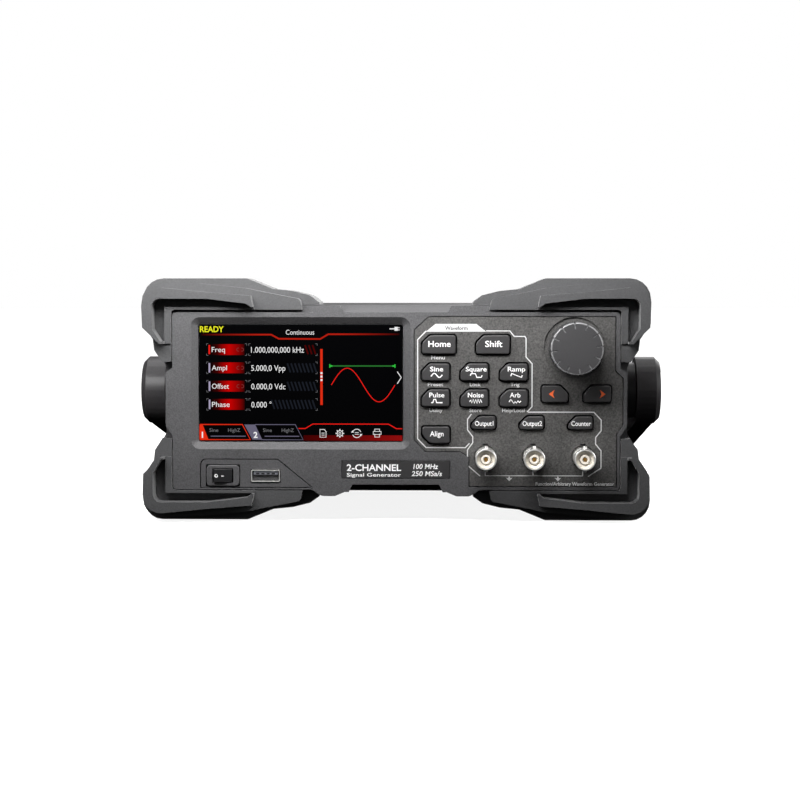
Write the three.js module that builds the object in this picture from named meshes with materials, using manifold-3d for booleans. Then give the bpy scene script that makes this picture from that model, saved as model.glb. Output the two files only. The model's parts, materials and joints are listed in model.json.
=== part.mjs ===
// Bench function generator: moulded front, sheet-metal case, rubber corner bumpers and a
// swinging carry handle that is also the tilt stand.
// Millimetres, +Z up. The front faces -Y and +X is to its right. The origin is the middle of
// the footprint, on the surface that the bumpers stand on.
// Sizes below are in the case's own frame: x from the middle, z from mid-height, and depth
// measured back from the front face. The last lines of the file place that frame.

import * as THREE from 'three';
import { mergeVertices } from 'three/addons/utils/BufferGeometryUtils.js';
import Module from 'manifold-3d';

const wasm = await Module();
wasm.setup();

// ---------------------------------------------------------------- driving dimensions

const gap = 0.3;             // between pieces that touch or fit
const slideGap = 0.45;       // round a piece that moves in its hole
const overcut = 1;           // how far a cutter runs past the face that it cuts
const sink = 0.01;           // how far a piece runs into the one that it is joined to

const body = {
  halfWidth: 106.4, top: 43.5, bottom: 42.3, corner: 3,
  flangeFront: 5, seam: 28, rear: 262, sheet: 1.2,
};
const bezel = {
  sideStep: 3.6, topStep: 3.1, bottomStep: 1.1, corner: 1.8, face: 4, wall: 2.2,
  wingStep: 0.4, crestHalf: 34.5, slopeRun: 3.2,
};
const notch = { topHalf: 24, bottomHalf: 20, flare: 3, run: 8, topDrop: 3.1, bottomDrop: 3.5 };
const lobe = { x: 31, half: 7.5, tipHalf: 3, drop: 1.9, depth: 7, root: 2 };
const window = { x: -43.8, z: 7.8, width: 94.6, height: 54.4, corner: 1.2, bevel: 3.2, depth: 2.6 };
const glass = { front: 2.8, thickness: 1.5 };
const display = { width: 102.6, height: 60, thickness: 5 };
const panel = { front: 0.3, thickness: 2.3, groove: 0.4, ledge: 1.1 };
const nameplate = { x: 0.1, z: -31.9, width: 49.5, height: 7.8, thickness: 0.45, pocket: 0.8 };
const key = { proud: 1.8, cut: 3.7, corner: 0.8, flange: 0.8, flangeThickness: 1, travel: 1 };
const knob = {
  x: 81.9, z: 24.2, radius: 12, proud: 18.4, faceInset: 0.8, chamfer: 1.2, back: 0.4,
  flutes: 12, fluteWidth: 1, fluteDepth: 0.5, firstFlute: 6, collarRim: 2.1, collarDepth: 1,
};
const shaft = { radius: 3, reach: 12, tail: 12.7 };
const encoder = { size: 13, depth: 6.5, bushing: 4.2, bushingRoot: 1 };
const socket = {
  z: -25.9, barrel: 4.85, proud: 15.5, barrelWall: 0.8, boreDepth: 11.5, core: 2.2, pin: 0.6,
  flangeRim: 0.65, flangeThickness: 1.5, tail: 12, lug: 0.95, lugProud: 1.05, lugFromRim: 4,
  coreFromRim: 1, pinFromRim: 1.6, pinTail: 2,
};
const keyingSlot = { width: 2.6, height: 0.8, fromBarrel: 0.9 };
const outputSockets = [
  { name: 'output_1', x: 41.2 },
  { name: 'output_2', x: 63.1 },
  { name: 'counter', x: 85.9 },
];
const powerSwitch = {
  x: -79.7, z: -34.8, width: 15.2, height: 9.7, openWidth: 9.8, openHeight: 6.9,
  proud: 0.5, depth: 16, cavity: 9, corner: 1.1, wall: 0.4,
};
const rocker = {
  half: 4.3, height: 6.2, proud: 1.6, crease: 0.43, sunk: 0.2, back: 4.2, heel: 2.8, draft: 0.3,
};
const usbHost = {
  x: -60, z: -34.9, width: 13.3, height: 5.5, wall: 0.4, proud: 0.3, depth: 13, corner: 0.6,
  tongueWidth: 11.1, tongueHeight: 1.7, tongueSunk: 0.8,
};
const mat = { thickness: 1 };
const board = { left: 10, right: 100, half: 37.5, thickness: 1.6 };

const bumper = {
  side: 11.1, top: 12.5, corner: 12, lowerCorner: 8.5, lip: 0.4, proud: 6, back: 36,
  stepFront: 0, stepBack: 8, pocketFloor: 3.4, lipDepth: 1,
};
const rearBumper = { length: 36, lip: 5, cover: 6.4, inner: 78 };
const handle = {
  pivotDepth: 97, hubRadius: 17, hubThickness: 12.25, hubBevel: 2.5, armThickness: 9, running: 1,
  gripRadius: 9, fingerGap: 15, fold: 13, elbow: 28, gripHalf: 80, coreHalf: 5.2, coreOverlap: 2,
};
const armRecess = { depth: 4.5, rootHalf: 11, endHalf: 6.5, fromHub: 5, fromGrip: 45, corner: 2 };
const pivot = { boss: 14, pin: 6, pinReach: 8 };

const vents = { rows: 2, columns: 9, width: 3.2, height: 20, pitch: 8, rowPitch: 28, first: 130 };
const fan = {
  x: -14, z: 2, size: 50, corner: 3, depth: 15, bore: 23.5, hub: 10, hubWall: 2, blades: 7,
  tipGap: 1.2, pitch: 35, chord: 10, bladeThickness: 1.2, strutWidth: 2.4, strutTurn: 23,
};
const grille = { slots: 9, height: 3, pitch: 4.8 };
const inlet = {
  x: -74, z: -12, width: 27, height: 19.6, flangeRim: 3, proud: 2.3, depth: 20, sideWall: 1.3,
  endWall: 1.7, backWall: 3, keyCut: 4, pinHalf: 1, pinHalfHeight: 2, pinSunk: 3,
};
const inletPins = [{ dx: -7, dz: -1.5 }, { dx: 7, dz: -1.5 }, { dx: 0, dz: 2.5 }];
const rearSockets = [
  { name: 'rear_bnc_reference', x: 40, z: 14 },
  { name: 'rear_bnc_sync', x: 66, z: 14 },
];
const rearSocket = { proud: 11, pinFromRim: 3, bore: 9, pinRoot: 7, tail: 12, flange: 2 };
const lan = { x: 44, z: -14, width: 16, height: 13.5, depth: 14, openWidth: 11.8, openHeight: 8.2 };
const usbDevice = { x: 70, z: -14, width: 12, height: 10.8, depth: 12, openWidth: 8.6, openHeight: 7.9 };
const port = { proud: 1, backWall: 3, tongueHalf: 2.8, tongueHalfHeight: 1.6, tongueSunk: 0.5 };
const mainBoard = { half: 98, front: 36, height: 8.3, thickness: 1.6, post: 3, inset: 9, fromFan: 5 };
const supply = { left: -98, right: -42, length: 86, height: 40, fromFan: 9 };
const rearSheet = 1.7;       // the rear panel, which also closes the cover and the tray

// Sizes that follow from the ones above.
const front = { halfWidth: body.halfWidth - bezel.sideStep,
  top: body.top - bezel.topStep, bottom: body.bottom - bezel.bottomStep };
const outer = { halfWidth: body.halfWidth + bumper.side, halfHeight: body.top + bumper.top };
const hubInner = outer.halfWidth + handle.running;
const hubOuter = hubInner + handle.hubThickness;
const fold = THREE.MathUtils.degToRad(handle.fold);
const rearmost = body.rear + rearBumper.lip + handle.fingerGap + 2 * handle.gripRadius;
const armLength = (rearmost - handle.gripRadius - handle.pivotDepth) / Math.cos(fold);
const panelBack = panel.front + panel.thickness;
const keyFlangeFront = panelBack + slideGap;
const matFront = keyFlangeFront + key.flangeThickness + key.travel + gap;
const boardFront = matFront + mat.thickness + slideGap;
const boardBack = boardFront + board.thickness;
const socketBore = socket.barrel - socket.barrelWall;
const socketFlange = socket.barrel + socket.flangeRim;
const rearFace = body.rear - rearSheet;
const fanBack = rearFace - gap;
const fanFront = fanBack - fan.depth;

// ---------------------------------------------------------------- solids

// A closed solid from any closed geometry: shared corners merged, faces turned outwards.
function solid(geometry) {
  geometry.deleteAttribute('normal');
  geometry.deleteAttribute('uv');
  const merged = mergeVertices(geometry);
  const corners = merged.getAttribute('position').array;
  const index = merged.getIndex().array;
  const at = (i) => new THREE.Vector3().fromArray(corners, 3 * i);
  const triangles = [];
  let volume = 0;
  for (let i = 0; i < index.length; i += 3) {
    const [a, b, c] = [index[i], index[i + 1], index[i + 2]];
    if (a === b || b === c || c === a) continue;
    triangles.push([a, b, c]);
    volume += at(a).dot(at(b).cross(at(c)));
  }
  if (volume < 0) triangles.forEach((triangle) => triangle.reverse());
  return new wasm.Manifold(new wasm.Mesh({
    numProp: 3, vertProperties: corners, triVerts: Uint32Array.from(triangles.flat()),
  }));
}

const join = (...pieces) => pieces.reduce((all, piece) => all.add(piece));
const cut = (piece, ...tools) => tools.reduce((rest, tool) => rest.subtract(tool), piece);

// Corners [x, z, radius] become a loop of points, with an arc at each corner that has a radius.
function rounded(corners, radius = 0, steps = 3) {
  const points = [];
  corners.forEach(([x, z, ownRadius], i) => {
    const here = new THREE.Vector2(x, z);
    const size = ownRadius ?? radius;
    if (size === 0) {
      points.push(here);
      return;
    }
    const [beforeX, beforeZ] = corners.at(i - 1);
    const [afterX, afterZ] = corners[(i + 1) % corners.length];
    const toBefore = new THREE.Vector2(beforeX, beforeZ).sub(here);
    const toAfter = new THREE.Vector2(afterX, afterZ).sub(here);
    const room = 0.49 * Math.min(toBefore.length(), toAfter.length());
    toBefore.normalize();
    toAfter.normalize();
    const half = Math.acos(toBefore.dot(toAfter)) / 2;
    const run = Math.min(size / Math.tan(half), room);
    const centre = toBefore.clone().add(toAfter).normalize().multiplyScalar(run / Math.cos(half)).add(here);
    const start = here.clone().addScaledVector(toBefore, run).sub(centre);
    const end = here.clone().addScaledVector(toAfter, run).sub(centre);
    const sweep = Math.atan2(start.cross(end), start.dot(end));
    for (let step = 0; step <= steps; step += 1) {
      const spoke = start.clone().rotateAround(new THREE.Vector2(), (sweep * step) / steps);
      points.push(spoke.add(centre));
    }
  });
  return THREE.ShapeUtils.isClockWise(points) ? points.reverse() : points;
}

// The same loop moved outwards by a distance, or inwards where it is negative.
function offset(loop, distance) {
  return loop.map((point, i) => {
    const before = loop.at(i - 1);
    const after = loop[(i + 1) % loop.length];
    const normalIn = new THREE.Vector2(point.y - before.y, before.x - point.x).normalize();
    const normalOut = new THREE.Vector2(after.y - point.y, point.x - after.x).normalize();
    const share = distance / (1 + normalIn.dot(normalOut));
    return point.clone().addScaledVector(normalIn.add(normalOut), share);
  });
}

function rectangle(x, z, width, height, radius = 0, steps = 3) {
  const [w, h] = [width / 2, height / 2];
  return rounded([[x - w, z - h], [x + w, z - h], [x + w, z + h], [x - w, z + h]], radius, steps);
}

function circle(x, z, radius, sides = 24) {
  return Array.from({ length: sides }, (_, i) => {
    const turn = (2 * Math.PI * i) / sides;
    return new THREE.Vector2(x + radius * Math.cos(turn), z + radius * Math.sin(turn));
  });
}

const directions = {
  x: [[0, 1, 0], [0, 0, 1], [1, 0, 0]],
  y: [[1, 0, 0], [0, 0, 1], [0, 1, 0]],
  z: [[1, 0, 0], [0, 1, 0], [0, 0, 1]],
};
const axes = (axis) => new THREE.Matrix4().makeBasis(
  ...directions[axis].map((direction) => new THREE.Vector3(...direction)));

// A loop drawn in the plane across an axis, and drawn out along that axis.
function extrude(axis, loop, from, to, holes = []) {
  const options = { depth: to - from, bevelEnabled: false };
  const geometry = new THREE.ExtrudeGeometry(new THREE.Shape(loop), options);
  geometry.translate(0, 0, from);
  const cutters = holes.map((hole) => extrude(axis, hole, from - overcut, to + overcut));
  return cut(solid(geometry.applyMatrix4(axes(axis))), ...cutters);
}

const plate = (loop, frontDepth, backDepth, holes) => extrude('y', loop, frontDepth, backDepth, holes);

function block([x0, x1], [y0, y1], [z0, z1]) {
  const geometry = new THREE.BoxGeometry(x1 - x0, y1 - y0, z1 - z0);
  return solid(geometry.translate((x0 + x1) / 2, (y0 + y1) / 2, (z0 + z1) / 2));
}

// A profile of [radius, depth] points turned round a line that runs front to back.
function turned(profile, x, z, sides = 24) {
  const points = profile.map(([radius, depth]) => new THREE.Vector2(radius, depth));
  return solid(new THREE.LatheGeometry(points, sides).translate(x, 0, z));
}

const drum = (x, z, radius, from, to, sides) =>
  turned([[0, from], [radius, from], [radius, to], [0, to]], x, z, sides);

// A profile of [radius, x] points turned round the handle's pivot line.
function turnedAcross(profile, sides = 32) {
  const points = profile.map(([radius, x]) => new THREE.Vector2(radius, x));
  return solid(new THREE.LatheGeometry(points, sides).rotateZ(-Math.PI / 2));
}

// ---------------------------------------------------------------- finishes

const finish = (color, roughness, metalness = 0) => ({ color, roughness, metalness });
const finishes = {
  moulding: finish(0x5a595b, 0.62),
  panel: finish(0x4d4c4b, 0.7),
  keyCap: finish(0x38373a, 0.5),
  rubber: finish(0x4b4c4e, 0.85),
  darkPlastic: finish(0x1c1c1d, 0.5),
  glass: finish(0x050505, 0.08),
  nickel: finish(0xb9b6ad, 0.28, 1),
  cream: finish(0xd9cdb4, 0.5),
  gold: finish(0xb8873a, 0.3, 1),
  paintedSteel: finish(0x6b6b6d, 0.55, 0.4),
  zinc: finish(0xa9abad, 0.4, 0.9),
  laminate: finish(0x1f4a33, 0.5),
};

const group = new THREE.Group();
const fixed = new THREE.Group();
const swing = new THREE.Group();
group.add(fixed);
fixed.add(swing);

function add(name, piece, finishName, parent = fixed) {
  const { vertProperties, triVerts } = piece.getMesh();
  const geometry = new THREE.BufferGeometry();
  geometry.setAttribute('position', new THREE.BufferAttribute(vertProperties, 3));
  geometry.setIndex(new THREE.BufferAttribute(triVerts, 1));
  geometry.computeVertexNormals();
  const mesh = new THREE.Mesh(geometry, new THREE.MeshStandardMaterial(finishes[finishName]));
  mesh.name = name;
  parent.add(mesh);
}

// ---------------------------------------------------------------- front outlines

const bodyLoop = (grow) => rounded([
  [-body.halfWidth - grow, -body.bottom - grow], [body.halfWidth + grow, -body.bottom - grow],
  [body.halfWidth + grow, body.top + grow], [-body.halfWidth - grow, body.top + grow],
], body.corner);

// The front face: square corners, a raised crest at the top, and a wing at each side.
function frontLoop() {
  const wing = body.halfWidth - bezel.wingStep;
  const crest = bezel.crestHalf;
  const right = [
    [lobe.x, -body.bottom], [lobe.x + lobe.half, -front.bottom],
    [front.halfWidth, -front.bottom, bezel.corner], [front.halfWidth, -16.8], [wing, -11.7],
    [wing, 12.6], [front.halfWidth, 14.8], [front.halfWidth, front.top, bezel.corner],
    [crest + bezel.slopeRun, front.top], [crest, body.top],
  ];
  const left = right.map(([x, z, radius]) => [-x, z, radius]).reverse();
  return rounded([...right, ...left]);
}

const keypadLoop = rounded([
  [15.3, 38.3], [100.4, 38.3], [100.4, 13.5], [103.9, 10.1], [103.9, -10.9], [101.1, -15.1],
  [101.1, -39.4], [33.9, -39.4], [33.9, -26], [29.9, -23.4], [13.7, -23.4], [8.7, -18], [8.7, 32.2],
]);
const switchLoop = rounded([
  [-89.9, -40.1], [-38.9, -40.1], [-54.4, -27.4], [-89.9, -27.4, 2.5],
]);

const keys = [
  { name: 'key_home', x: 19.8, z: 25.7, width: 15.9, height: 9.05 },
  { name: 'key_shift', x: 44.5, z: 25.7, width: 15.9, height: 9.05 },
  { name: 'key_sine', x: 18.3, z: 13.1, width: 13.2, height: 8.3 },
  { name: 'key_square', x: 36.1, z: 13.1, width: 13.2, height: 8.3 },
  { name: 'key_ramp', x: 54.1, z: 13.1, width: 13.2, height: 8.3 },
  { name: 'key_pulse', x: 18.3, z: 1.2, width: 13.2, height: 8.3 },
  { name: 'key_noise', x: 36.1, z: 1.2, width: 13.2, height: 8.3 },
  { name: 'key_arb', x: 54.1, z: 1.2, width: 13.2, height: 8.3 },
  { name: 'key_align', x: 18.5, z: -15.8, width: 13, height: 8.2, cutCorner: 'bottomLeft' },
  { name: 'key_left', x: 72.9, z: 3.1, width: 12.4, height: 8.1, cutCorner: 'topRight' },
  { name: 'key_right', x: 92.3, z: 3.1, width: 12.9, height: 8.1 },
  { name: 'key_output_1', x: 40.3, z: -10.1, width: 11.5, height: 6.4 },
  { name: 'key_output_2', x: 62.3, z: -10.1, width: 11.5, height: 6.4 },
  { name: 'key_counter', x: 84.6, z: -10.1, width: 11.5, height: 6.4 },
];

function keyLoop({ x, z, width, height, cutCorner = 'topLeft' }) {
  const [w, h, c] = [width / 2, height / 2, key.cut];
  const corners = {
    bottomLeft: [[x - w, z - h + c], [x - w + c, z - h]],
    bottomRight: [[x + w - c, z - h], [x + w, z - h + c]],
    topRight: [[x + w, z + h - c], [x + w - c, z + h]],
    topLeft: [[x - w + c, z + h], [x - w, z + h - c]],
  };
  const square = {
    bottomLeft: [[x - w, z - h]], bottomRight: [[x + w, z - h]],
    topRight: [[x + w, z + h]], topLeft: [[x - w, z + h]],
  };
  const loop = Object.keys(square).flatMap((name) => (name === cutCorner ? corners : square)[name]);
  return rounded(loop, key.corner, 1);
}

// ---------------------------------------------------------------- front moulding

// Cuts the sloping recess in the middle of the top edge (sign 1) or the bottom edge (sign -1).
function notchCutter(sign, half, drop) {
  const reach = sign > 0 ? body.top : body.bottom;
  const edge = reach - drop;
  const far = reach + notch.flare;
  const ends = rounded([
    [-half, sign * edge], [half, sign * edge],
    [half + notch.flare, sign * far], [-half - notch.flare, sign * far],
  ]);
  const slope = rounded([[-overcut, sign * edge], [0, sign * edge],
    [notch.run, sign * (reach + 0.01)], [notch.run, sign * far], [-overcut, sign * far]]);
  return plate(ends, -overcut, notch.run).intersect(
    extrude('x', slope, -half - 2 * notch.flare, half + 2 * notch.flare));
}

// The window's bevel is widest at the front face and ends on the clear opening.
function windowCutter() {
  const opening = rectangle(window.x, window.z, window.width, window.height, window.corner);
  const options = {
    depth: overcut, bevelThickness: window.depth, bevelSize: window.bevel, bevelSegments: 1,
  };
  const geometry = new THREE.ExtrudeGeometry(new THREE.Shape(opening), options);
  const bevel = solid(geometry.rotateX(Math.PI / 2));
  return join(bevel, plate(opening, 0, bezel.face + overcut));
}

function pocketCutter(loop) {
  return join(
    plate(offset(loop, panel.groove), -overcut, panelBack + gap),
    plate(offset(loop, -panel.ledge), 0, bezel.face + overcut));
}

function frontBezel() {
  const face = plate(frontLoop(), 0, body.flangeFront + gap);
  const flange = plate(bodyLoop(0), body.flangeFront, body.seam);
  const lobes = [-1, 1].map((side) => plate(rounded([
    [side * (lobe.x + lobe.half), -body.bottom + lobe.root],
    [side * (lobe.x - lobe.half), -body.bottom + lobe.root],
    [side * (lobe.x - lobe.half), -body.bottom],
    [side * (lobe.x - lobe.tipHalf), -body.bottom - lobe.drop, lobe.tipHalf],
    [side * (lobe.x + lobe.tipHalf), -body.bottom - lobe.drop, lobe.tipHalf],
    [side * (lobe.x + lobe.half), -body.bottom + lobe.root / 2],
  ]), 0, lobe.depth));
  const edge = bezel.wall;
  const shallow = plate(offset(rectangle(0, (front.top - front.bottom) / 2, 2 * front.halfWidth,
    front.top + front.bottom), -edge), bezel.face, body.seam + overcut);
  const deep = plate(bodyLoop(-edge), body.flangeFront + edge, body.seam + overcut);
  const plateRecess = plate(rectangle(nameplate.x, nameplate.z, nameplate.width + 2 * gap,
    nameplate.height + 2 * gap), -overcut, nameplate.pocket);
  const socketRooms = outputSockets.map(({ x }) =>
    drum(x, socket.z, socketFlange + slideGap, panelBack, bezel.face + overcut));
  return cut(join(face, flange, ...lobes), shallow, deep, windowCutter(),
    pocketCutter(keypadLoop), pocketCutter(switchLoop), plateRecess, ...socketRooms,
    notchCutter(1, notch.topHalf, notch.topDrop), notchCutter(-1, notch.bottomHalf, notch.bottomDrop));
}

function keypadPanel() {
  const keyHoles = keys.map((item) => offset(keyLoop(item), slideGap));
  const socketHoles = outputSockets.map(({ x }) => circle(x, socket.z, socket.barrel + slideGap));
  const keySlots = outputSockets.map(({ x }) =>
    rectangle(x, socket.z + socket.barrel + keyingSlot.fromBarrel, keyingSlot.width, keyingSlot.height));
  const shaftHole = circle(knob.x, knob.z, encoder.bushing + slideGap);
  const sheet = plate(keypadLoop, panel.front, panelBack,
    [...keyHoles, ...socketHoles, ...keySlots, shaftHole]);
  return cut(sheet, drum(knob.x, knob.z, knob.radius + knob.collarRim, -overcut,
    panel.front + knob.collarDepth, 48));
}

function switchPanel() {
  const holes = [powerSwitch, usbHost].map(({ x, z, width, height }) =>
    rectangle(x, z, width + 2 * gap, height + 2 * gap));
  return plate(switchLoop, panel.front, panelBack, holes);
}

add('front_bezel', frontBezel(), 'moulding');
add('keypad_panel', keypadPanel(), 'panel');
add('switch_panel', switchPanel(), 'moulding');
add('nameplate', plate(rectangle(nameplate.x, nameplate.z, nameplate.width, nameplate.height),
  nameplate.pocket - gap - nameplate.thickness, nameplate.pocket - gap), 'panel');
add('lcd_glass', plate(rectangle(window.x, window.z, window.width - 2 * gap, window.height - 2 * gap,
  window.corner), glass.front, glass.front + glass.thickness), 'glass');
const displayFront = Math.max(bezel.face, glass.front + glass.thickness) + gap;
add('lcd_module', plate(rectangle(window.x, window.z, display.width, display.height),
  displayFront, displayFront + display.thickness), 'zinc');

// ---------------------------------------------------------------- keys

// A cap that stands through the panel, on a flange that the panel's back keeps in.
for (const item of keys) {
  const loop = keyLoop(item);
  const flangeBack = keyFlangeFront + key.flangeThickness;
  const piece = join(plate(loop, panel.front - key.proud, flangeBack),
    plate(offset(loop, key.flange), keyFlangeFront, flangeBack));
  add(item.name, piece, 'keyCap');
}

const socketClear = outputSockets.map(({ x }) => circle(x, socket.z, socket.barrel + slideGap));
const bushingClear = circle(knob.x, knob.z, encoder.bushing + slideGap);
const boardLoop = rectangle((board.left + board.right) / 2, 0, board.right - board.left, 2 * board.half);
add('keypad_mat', plate(boardLoop, matFront, matFront + mat.thickness,
  [...socketClear, bushingClear]), 'rubber');
add('front_board', plate(boardLoop, boardFront, boardBack, [...socketClear, bushingClear]), 'laminate');

// ---------------------------------------------------------------- knob and its encoder

function knobPiece() {
  const face = -knob.proud;
  const step = (2 * Math.PI) / knob.flutes;
  const first = THREE.MathUtils.degToRad(knob.firstFlute);
  const halfTurn = Math.asin(knob.fluteWidth / 2 / knob.radius);
  const loop = [];
  for (let i = 0; i < knob.flutes; i += 1) {
    const middle = first + i * step;
    const stations = [
      [middle - halfTurn, knob.radius], [middle, knob.radius - knob.fluteDepth],
      [middle + halfTurn, knob.radius], [middle + step / 2, knob.radius],
    ];
    for (const [turn, radius] of stations) {
      loop.push(new THREE.Vector2(knob.x + radius * Math.cos(turn), knob.z + radius * Math.sin(turn)));
    }
  }
  const wide = knob.radius + overcut;
  const envelope = turned([[0, face], [knob.radius - knob.faceInset, face],
    [wide, face + knob.chamfer], [wide, knob.back], [0, knob.back]], knob.x, knob.z, 48);
  const bore = drum(knob.x, knob.z, shaft.radius + gap, -shaft.reach - gap, knob.back + overcut);
  return cut(plate(loop, face, knob.back).intersect(envelope), bore);
}

function encoderBody() {
  const bodyFront = boardBack + gap;
  const half = encoder.size / 2;
  const can = block([knob.x - half, knob.x + half], [bodyFront, bodyFront + encoder.depth],
    [knob.z - half, knob.z + half]);
  const bushing = drum(knob.x, knob.z, encoder.bushing, panelBack + gap,
    bodyFront + encoder.bushingRoot);
  return cut(join(can, bushing), drum(knob.x, knob.z, shaft.radius + gap, 0, shaft.tail + gap));
}

add('knob', knobPiece(), 'darkPlastic');
add('encoder_shaft', drum(knob.x, knob.z, shaft.radius, -shaft.reach, shaft.tail, 20), 'zinc');
add('encoder_body', encoderBody(), 'zinc');

// ---------------------------------------------------------------- output sockets

for (const { name, x } of outputSockets) {
  const rim = -socket.proud;
  const flangeFront = panelBack + slideGap;
  const flangeBack = flangeFront + socket.flangeThickness;
  const coreBore = socket.core + gap;
  const shell = turned([
    [socketBore, rim], [socket.barrel, rim], [socket.barrel, flangeFront],
    [socketFlange, flangeFront], [socketFlange, flangeBack], [socket.barrel, flangeBack],
    [socket.barrel, socket.tail], [coreBore, socket.tail], [coreBore, rim + socket.boreDepth],
    [socketBore, rim + socket.boreDepth], [socketBore, rim],
  ], x, socket.z, 20);
  const lugDepth = rim + socket.lugFromRim;
  const middleRadius = (socketBore + socket.barrel) / 2;
  const lugs = [1, -1].map((side) => {
    const inner = socket.z + side * middleRadius;
    const outerEnd = socket.z + side * (socket.barrel + socket.lugProud);
    return extrude('z', circle(x, lugDepth, socket.lug, 10), Math.min(inner, outerEnd),
      Math.max(inner, outerEnd));
  });
  add(`bnc_shell_${name}`, join(shell, ...lugs), 'nickel');
  const pinBore = socket.pin + gap;
  add(`bnc_insulator_${name}`, turned([
    [pinBore, rim + socket.coreFromRim], [socket.core, rim + socket.coreFromRim],
    [socket.core, socket.tail], [pinBore, socket.tail], [pinBore, rim + socket.coreFromRim],
  ], x, socket.z, 16), 'cream');
  add(`bnc_contact_${name}`, drum(x, socket.z, socket.pin, rim + socket.pinFromRim,
    socket.tail + socket.pinTail, 10), 'gold');
}

// ---------------------------------------------------------------- power switch and host port

function switchHousing() {
  const { x, z, width, height, openWidth, openHeight, proud, depth, cavity, corner } = powerSwitch;
  const { wall } = powerSwitch;
  const frame = plate(rectangle(x, z, width, height, corner), -proud, panelBack);
  const can = plate(rectangle(x, z, openWidth + 2 * wall, openHeight + 2 * wall), 0, depth);
  return cut(join(frame, can), plate(rectangle(x, z, openWidth, openHeight), -proud - overcut, cavity));
}

// The left end stands proud and the right end is pressed in: the instrument is switched on.
function rockerPiece() {
  const { half, height, proud, crease, sunk, back, heel, draft } = rocker;
  const loop = rounded([
    [powerSwitch.x - half, -proud], [powerSwitch.x + crease, -proud],
    [powerSwitch.x + half, -sunk], [powerSwitch.x + half - draft, heel],
    [powerSwitch.x, back], [powerSwitch.x - half + draft, heel],
  ]);
  return extrude('z', loop, powerSwitch.z - height / 2, powerSwitch.z + height / 2);
}

function usbShell() {
  const { x, z, width, height, wall, proud, depth, corner } = usbHost;
  return cut(plate(rectangle(x, z, width, height, corner), -proud, depth),
    plate(rectangle(x, z, width - 2 * wall, height - 2 * wall, corner - wall / 2),
      -proud - overcut, depth - wall));
}

add('switch_housing', switchHousing(), 'darkPlastic');
add('power_rocker', rockerPiece(), 'darkPlastic');
add('usb_host_shell', usbShell(), 'nickel');
const tongueTop = usbHost.z + usbHost.height / 2 - usbHost.wall - gap;
add('usb_host_tongue', block(
  [usbHost.x - usbHost.tongueWidth / 2, usbHost.x + usbHost.tongueWidth / 2],
  [usbHost.tongueSunk, usbHost.depth - usbHost.wall - gap],
  [tongueTop - usbHost.tongueHeight, tongueTop]), 'cream');

// ---------------------------------------------------------------- case

const caseFront = body.seam + gap;
const caseBack = rearFace - gap;
const trayFlange = { height: 12, thickness: 2.4 };

// The folded sheet of the whole case, before it is parted into a cover and a tray.
const caseShell = plate(bodyLoop(0), caseFront, caseBack, [offset(bodyLoop(0), -body.sheet)]);
const belowSeam = (grow) => block([-body.halfWidth - overcut, body.halfWidth + overcut],
  [0, body.rear + overcut], [-body.bottom - overcut, -body.bottom + body.corner + grow]);

// The cover is the top and both sides, with rows of slots behind the pivots.
function topCover() {
  const slots = [];
  for (let row = 0; row < vents.rows; row += 1) {
    const z = (row - (vents.rows - 1) / 2) * vents.rowPitch;
    for (let column = 0; column < vents.columns; column += 1) {
      const start = vents.first + column * vents.pitch;
      slots.push(block([-body.halfWidth - overcut, body.halfWidth + overcut],
        [start, start + vents.width], [z - vents.height / 2, z + vents.height / 2]));
    }
  }
  return cut(caseShell, belowSeam(gap), ...slots);
}

const mainBoardBack = fanFront - mainBoard.fromFan;

function chassisTray() {
  const inside = body.halfWidth - body.sheet - gap;
  const floorTop = -body.bottom + body.sheet;
  const floor = caseShell.intersect(belowSeam(0));
  const flanges = [-1, 1].map((side) => {
    const edges = [side * inside, side * (inside - trayFlange.thickness)].sort((a, b) => a - b);
    return block(edges, [caseFront, caseBack],
      [floorTop - sink, floorTop + trayFlange.height]);
  });
  const posts = [];
  for (const x of [-1, 1].map((side) => side * (mainBoard.half - mainBoard.inset))) {
    for (const y of [mainBoard.front + mainBoard.inset, mainBoardBack - mainBoard.inset]) {
      posts.push(extrude('z', circle(x, y, mainBoard.post, 12), floorTop - sink,
        -body.bottom + mainBoard.height - gap));
    }
  }
  return join(floor, ...flanges, ...posts);
}

function rearPanel() {
  const grilleSlots = Array.from({ length: grille.slots }, (_, i) => {
    const z = (i - (grille.slots - 1) / 2) * grille.pitch;
    const chord = Math.sqrt(fan.bore ** 2 - z ** 2);
    return rectangle(fan.x, fan.z + z, 2 * chord, grille.height);
  });
  const ports = [lan, usbDevice, inlet].map(({ x, z, width, height }) =>
    rectangle(x, z, width + 2 * gap, height + 2 * gap));
  const holes = rearSockets.map(({ x, z }) => circle(x, z, socket.barrel + gap));
  return plate(bodyLoop(0), rearFace, body.rear, [...grilleSlots, ...ports, ...holes]);
}

add('top_cover', topCover(), 'paintedSteel');
add('chassis_tray', chassisTray(), 'zinc');
add('rear_panel', rearPanel(), 'paintedSteel');
const boardBottom = -body.bottom + mainBoard.height;
add('main_board', block([-mainBoard.half, mainBoard.half], [mainBoard.front, mainBoardBack],
  [boardBottom, boardBottom + mainBoard.thickness]), 'laminate');
const supplyBottom = boardBottom + mainBoard.thickness + gap;
const supplyBack = fanFront - supply.fromFan;
add('power_supply', block([supply.left, supply.right], [supplyBack - supply.length, supplyBack],
  [supplyBottom, supplyBottom + supply.height]), 'zinc');

// ---------------------------------------------------------------- fan

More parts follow.
